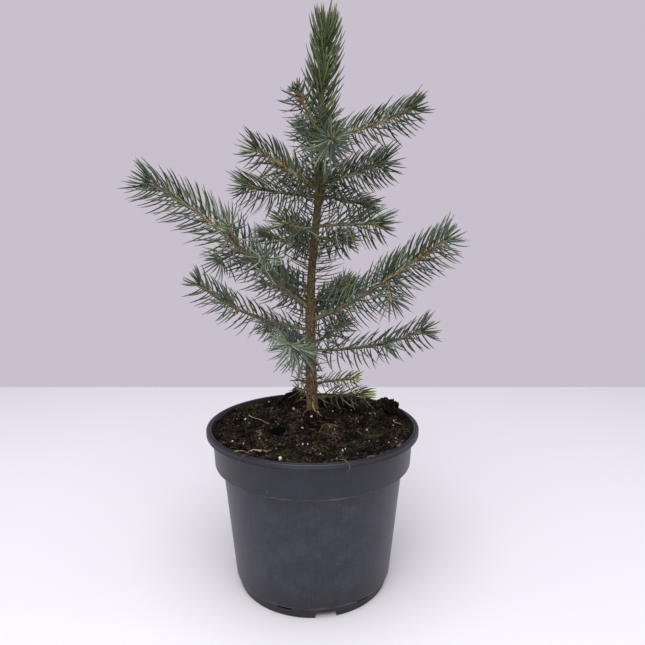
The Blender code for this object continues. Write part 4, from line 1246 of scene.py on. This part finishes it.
for axis in axes:
    _, tip_ahead = along(axis.row, np.array([1.0]))
    bud(axis.row[-1], tip_ahead[0], SHADED_BUD_SIZE if axis.shoot.tint == "dull" else BUD_SIZE)
    rings = () if axis.spur else axis.shoot.scales
    for share in rings:
        place, ahead = along(axis.row, np.array([share]))
        radius = float(np.interp(share, np.linspace(0.0, 1.0, len(axis.radii)), axis.radii))
        for back, lean in OLD_RINGS:
            at = place[0] - ahead[0] * back * MM
            scale_ring(at, ahead[0], RING_RADIUS * radius, RING_SCALES, RING_SCALE_LENGTH * radius, lean,
                       OLD_CURL, OLD_SCALE)
leader_ahead = unit(np.array([0.05, 0.0, 1.0]))
leader_row, _ = trunk_at(np.arange(LEADER_FOOT, LEADER_TOP, STEM_STEP))
bud(leader_row[-1], leader_ahead, LEADER_BUD_SIZE)
for height in LEADER_RINGS:
    centre, radius = trunk_at(np.array([height * MM]))
    scale_ring(centre[0], leader_ahead, radius[0], RING_SCALES, LEADER_SCALE, LEADER_SCALE_LEAN,
               OLD_CURL, DARK_SCALE)
straw_scale = dry("bud_scale", paint(190, 176, 134), paint(150, 132, 94), 0.7)
rusty_scale = dry("old_scale", paint(192, 144, 106), paint(142, 100, 70), 0.7)
brown_scale = dry("brown_scale", paint(118, 88, 52), paint(84, 62, 36), 0.7)
piece_of(scales.mesh("bud_scales"), "twig_bark", straw_scale, rusty_scale, brown_scale)


# The two lowest shoots on the right have broken bud: a brush of soft new needles, bright
# yellow-green, stands in the tip of each.
BRUSHES = (("foot_right_front", 24, 7, 42), ("foot_right", 20, 16, 8))
fresh = gathered([brush(*row, "pale") for row in BRUSHES])
fresh_wax = needle_wax("needles_fresh", 124, 144, 80)
piece_of(needle_mesh("needles_fresh", fresh), "leader_needles", *fresh_wax)


# A few thin roots show: rust-red ones that fork from the foot of the trunk into the soil, and
# dry hairs that lie on it or hang over the lip of the pot. Each row is a radius and points,
# whose third number is a lift above the soil where it is below LARGEST_LIFT, or else a height.
LARGEST_LIFT = 10
RED_ROOTS = (
    (0.75, (-3, 17, 161), (-9, 28, 159), (-15, 38, 155), (-20, 47, 0.5)),
    (0.8, (-4, 17, 155), (-9, 22, 2), (-17, 16, 1.2), (-25, 11, 0)),
    (0.85, (-3, 14, 155), (-8, 8, 2), (-10, -3, 1.4), (-10.5, -14, 0)),
    (0.65, (5.5, -28, 0), (8, -20, 1.2), (11, -13, 1.4), (14, -11, 0.6)),
    (0.28, (-44, -64, 0), (-49, -76, 147), (-53, -79.5, 146.6), (-55.5, -79.5, 142), (-57.5, -75.5, 136),
     (-56, -74, 131)),
)
OLIVE_ROOT = (0.8, (-0.5, 13, 161.5), (0, 11.8, 157.5), (1.5, 9.5, 154), (4.5, 5.5, 1.4), (9, 4, 0))
HAIRS = (
    (0.55, (12, -12, 1.2), (19, -15, 1.6), (27, -16, 0.6)),
    (0.55, (-62, 24, 0.8), (-56, 12, 2), (-47, 0, 1.6), (-38, -5, 0.6)),
    (0.5, (-34, -2, 1), (-31, -5, 1.4), (-27, -1, 0.8)),
    (0.85, (-51, -60, 0.6), (-45, -64, 1.4), (-38, -66, 1.2), (-32, -63, 0.6)),
    (0.7, (-49, -64, 0.8), (-43, -61, 1.4), (-35, -62, 1)),
    (0.5, (-62, -66, 0.6), (-55, -66, 1.4), (-49, -68, 1)),
    (0.26, (22, -80, 0.4), (26, -88, 147.2), (28.5, -92.2, 146), (29.5, -91.5, 142), (28, -86.5, 136)),
    (0.22, (42, -76, 0), (45, -80, 147.2), (49, -80, 147), (50, -76, 146)),
    (0.45, (-5, 17, 174.5), (-11, 22, 170), (-18, 31, 163), (-25, 40, 156.5)),
)
ROOT_SIDES = 6
ROOT_STEPS = 12
ROOT_EASE = 7


def strand(skin, radius, points, slot=0):
    """A thin root through some points, smoothed into one curve."""
    knots = np.array(points, float) * MM
    for knot in knots:
        if knot[2] < LARGEST_LIFT * MM:
            knot[2] += surface(*knot[:2])
    shares = np.linspace(0.0, 1.0, len(knots))
    fine = np.linspace(0.0, 1.0, ROOT_STEPS * len(knots))
    window = np.hanning(2 * ROOT_EASE + 1)
    eased = [np.convolve(np.pad(np.interp(fine, shares, values), ROOT_EASE, mode="edge"),
                         window / window.sum(), mode="valid") for values in knots.T]
    row = np.stack(eased, axis=1)
    limb(skin, row, np.linspace(radius, 0.5 * radius, len(row)) * MM, ROOT_SIDES, slots=slot)


roots = Skin()
for radius, *points in RED_ROOTS:
    strand(roots, radius, points)
piece_of(roots.mesh("red_roots"), "twig_bark", dry("root_skin", paint(124, 84, 64), paint(84, 54, 42)))

hairs = Skin()
strand(hairs, OLIVE_ROOT[0], OLIVE_ROOT[1:], 1)
for radius, *points in HAIRS:
    strand(hairs, radius, points)
hair_root = dry("hair_root", paint(158, 144, 112), paint(106, 92, 68))
olive_root = dry("olive_root", paint(176, 158, 84), paint(136, 120, 62))
piece_of(hairs.mesh("pale_roots"), "twig_bark", hair_root, olive_root)


# The stage: a wide pale table top, a lilac-grey room beyond it, a wide soft light overhead
# and a weaker one over the viewer's left shoulder.
TABLE_SIDE = 900 * MM
TABLE_EDGE = 634 * MM
table_corners = [
    (-TABLE_SIDE, -TABLE_EDGE, 0.0), (TABLE_SIDE, -TABLE_EDGE, 0.0),
    (TABLE_SIDE, TABLE_EDGE, 0.0), (-TABLE_SIDE, TABLE_EDGE, 0.0),
]
table_mesh = bpy.data.meshes.new("table_top")
table_mesh.from_pydata(table_corners, [], [(0, 1, 2, 3)])
table = placed("table_top", table_mesh)
white = Finish("table_white", {"Base Color": paint(238, 237, 244), "Roughness": 0.6})
table_mesh.materials.append(white.material)

room = bpy.data.worlds.new("room")
room.use_nodes = True
toward = room.node_tree.nodes.new("ShaderNodeTexCoord")
upward = room.node_tree.nodes.new("ShaderNodeSeparateXYZ")
walls_and_ceiling = room.node_tree.nodes.new("ShaderNodeValToRGB")
wall, ceiling = walls_and_ceiling.color_ramp.elements
wall.position, wall.color = 0.42, paint(200, 192, 204)
ceiling.position, ceiling.color = 0.62, paint(122, 120, 124)
room.node_tree.links.new(toward.outputs["Generated"], upward.inputs[0])
room.node_tree.links.new(upward.outputs["Z"], walls_and_ceiling.inputs[0])
room.node_tree.links.new(walls_and_ceiling.outputs[0], room.node_tree.nodes["Background"].inputs["Color"])
bpy.context.scene.world = room
bpy.context.scene.view_settings.view_transform = "Standard"


LAMP_WHITE = (1.0, 0.99, 0.98)
LIT_SPOT = Vector((0.0, 0.0, 0.2))


def soft_light(name, place, size, power):
    """A square soft light that faces the foot of the tree."""
    lamp = bpy.data.lights.new(name, "AREA")
    lamp.size = size
    lamp.energy = power
    lamp.color = LAMP_WHITE
    holder = placed(name, lamp)
    holder.location = place
    holder.rotation_euler = (Vector(place) - LIT_SPOT).to_track_quat("Z", "Y").to_euler()


soft_light("overhead", (-0.05, -0.6, 1.8), 2.1, 41)
soft_light("fill", (-0.2, -1.4, 1.0), 1.0, 6)
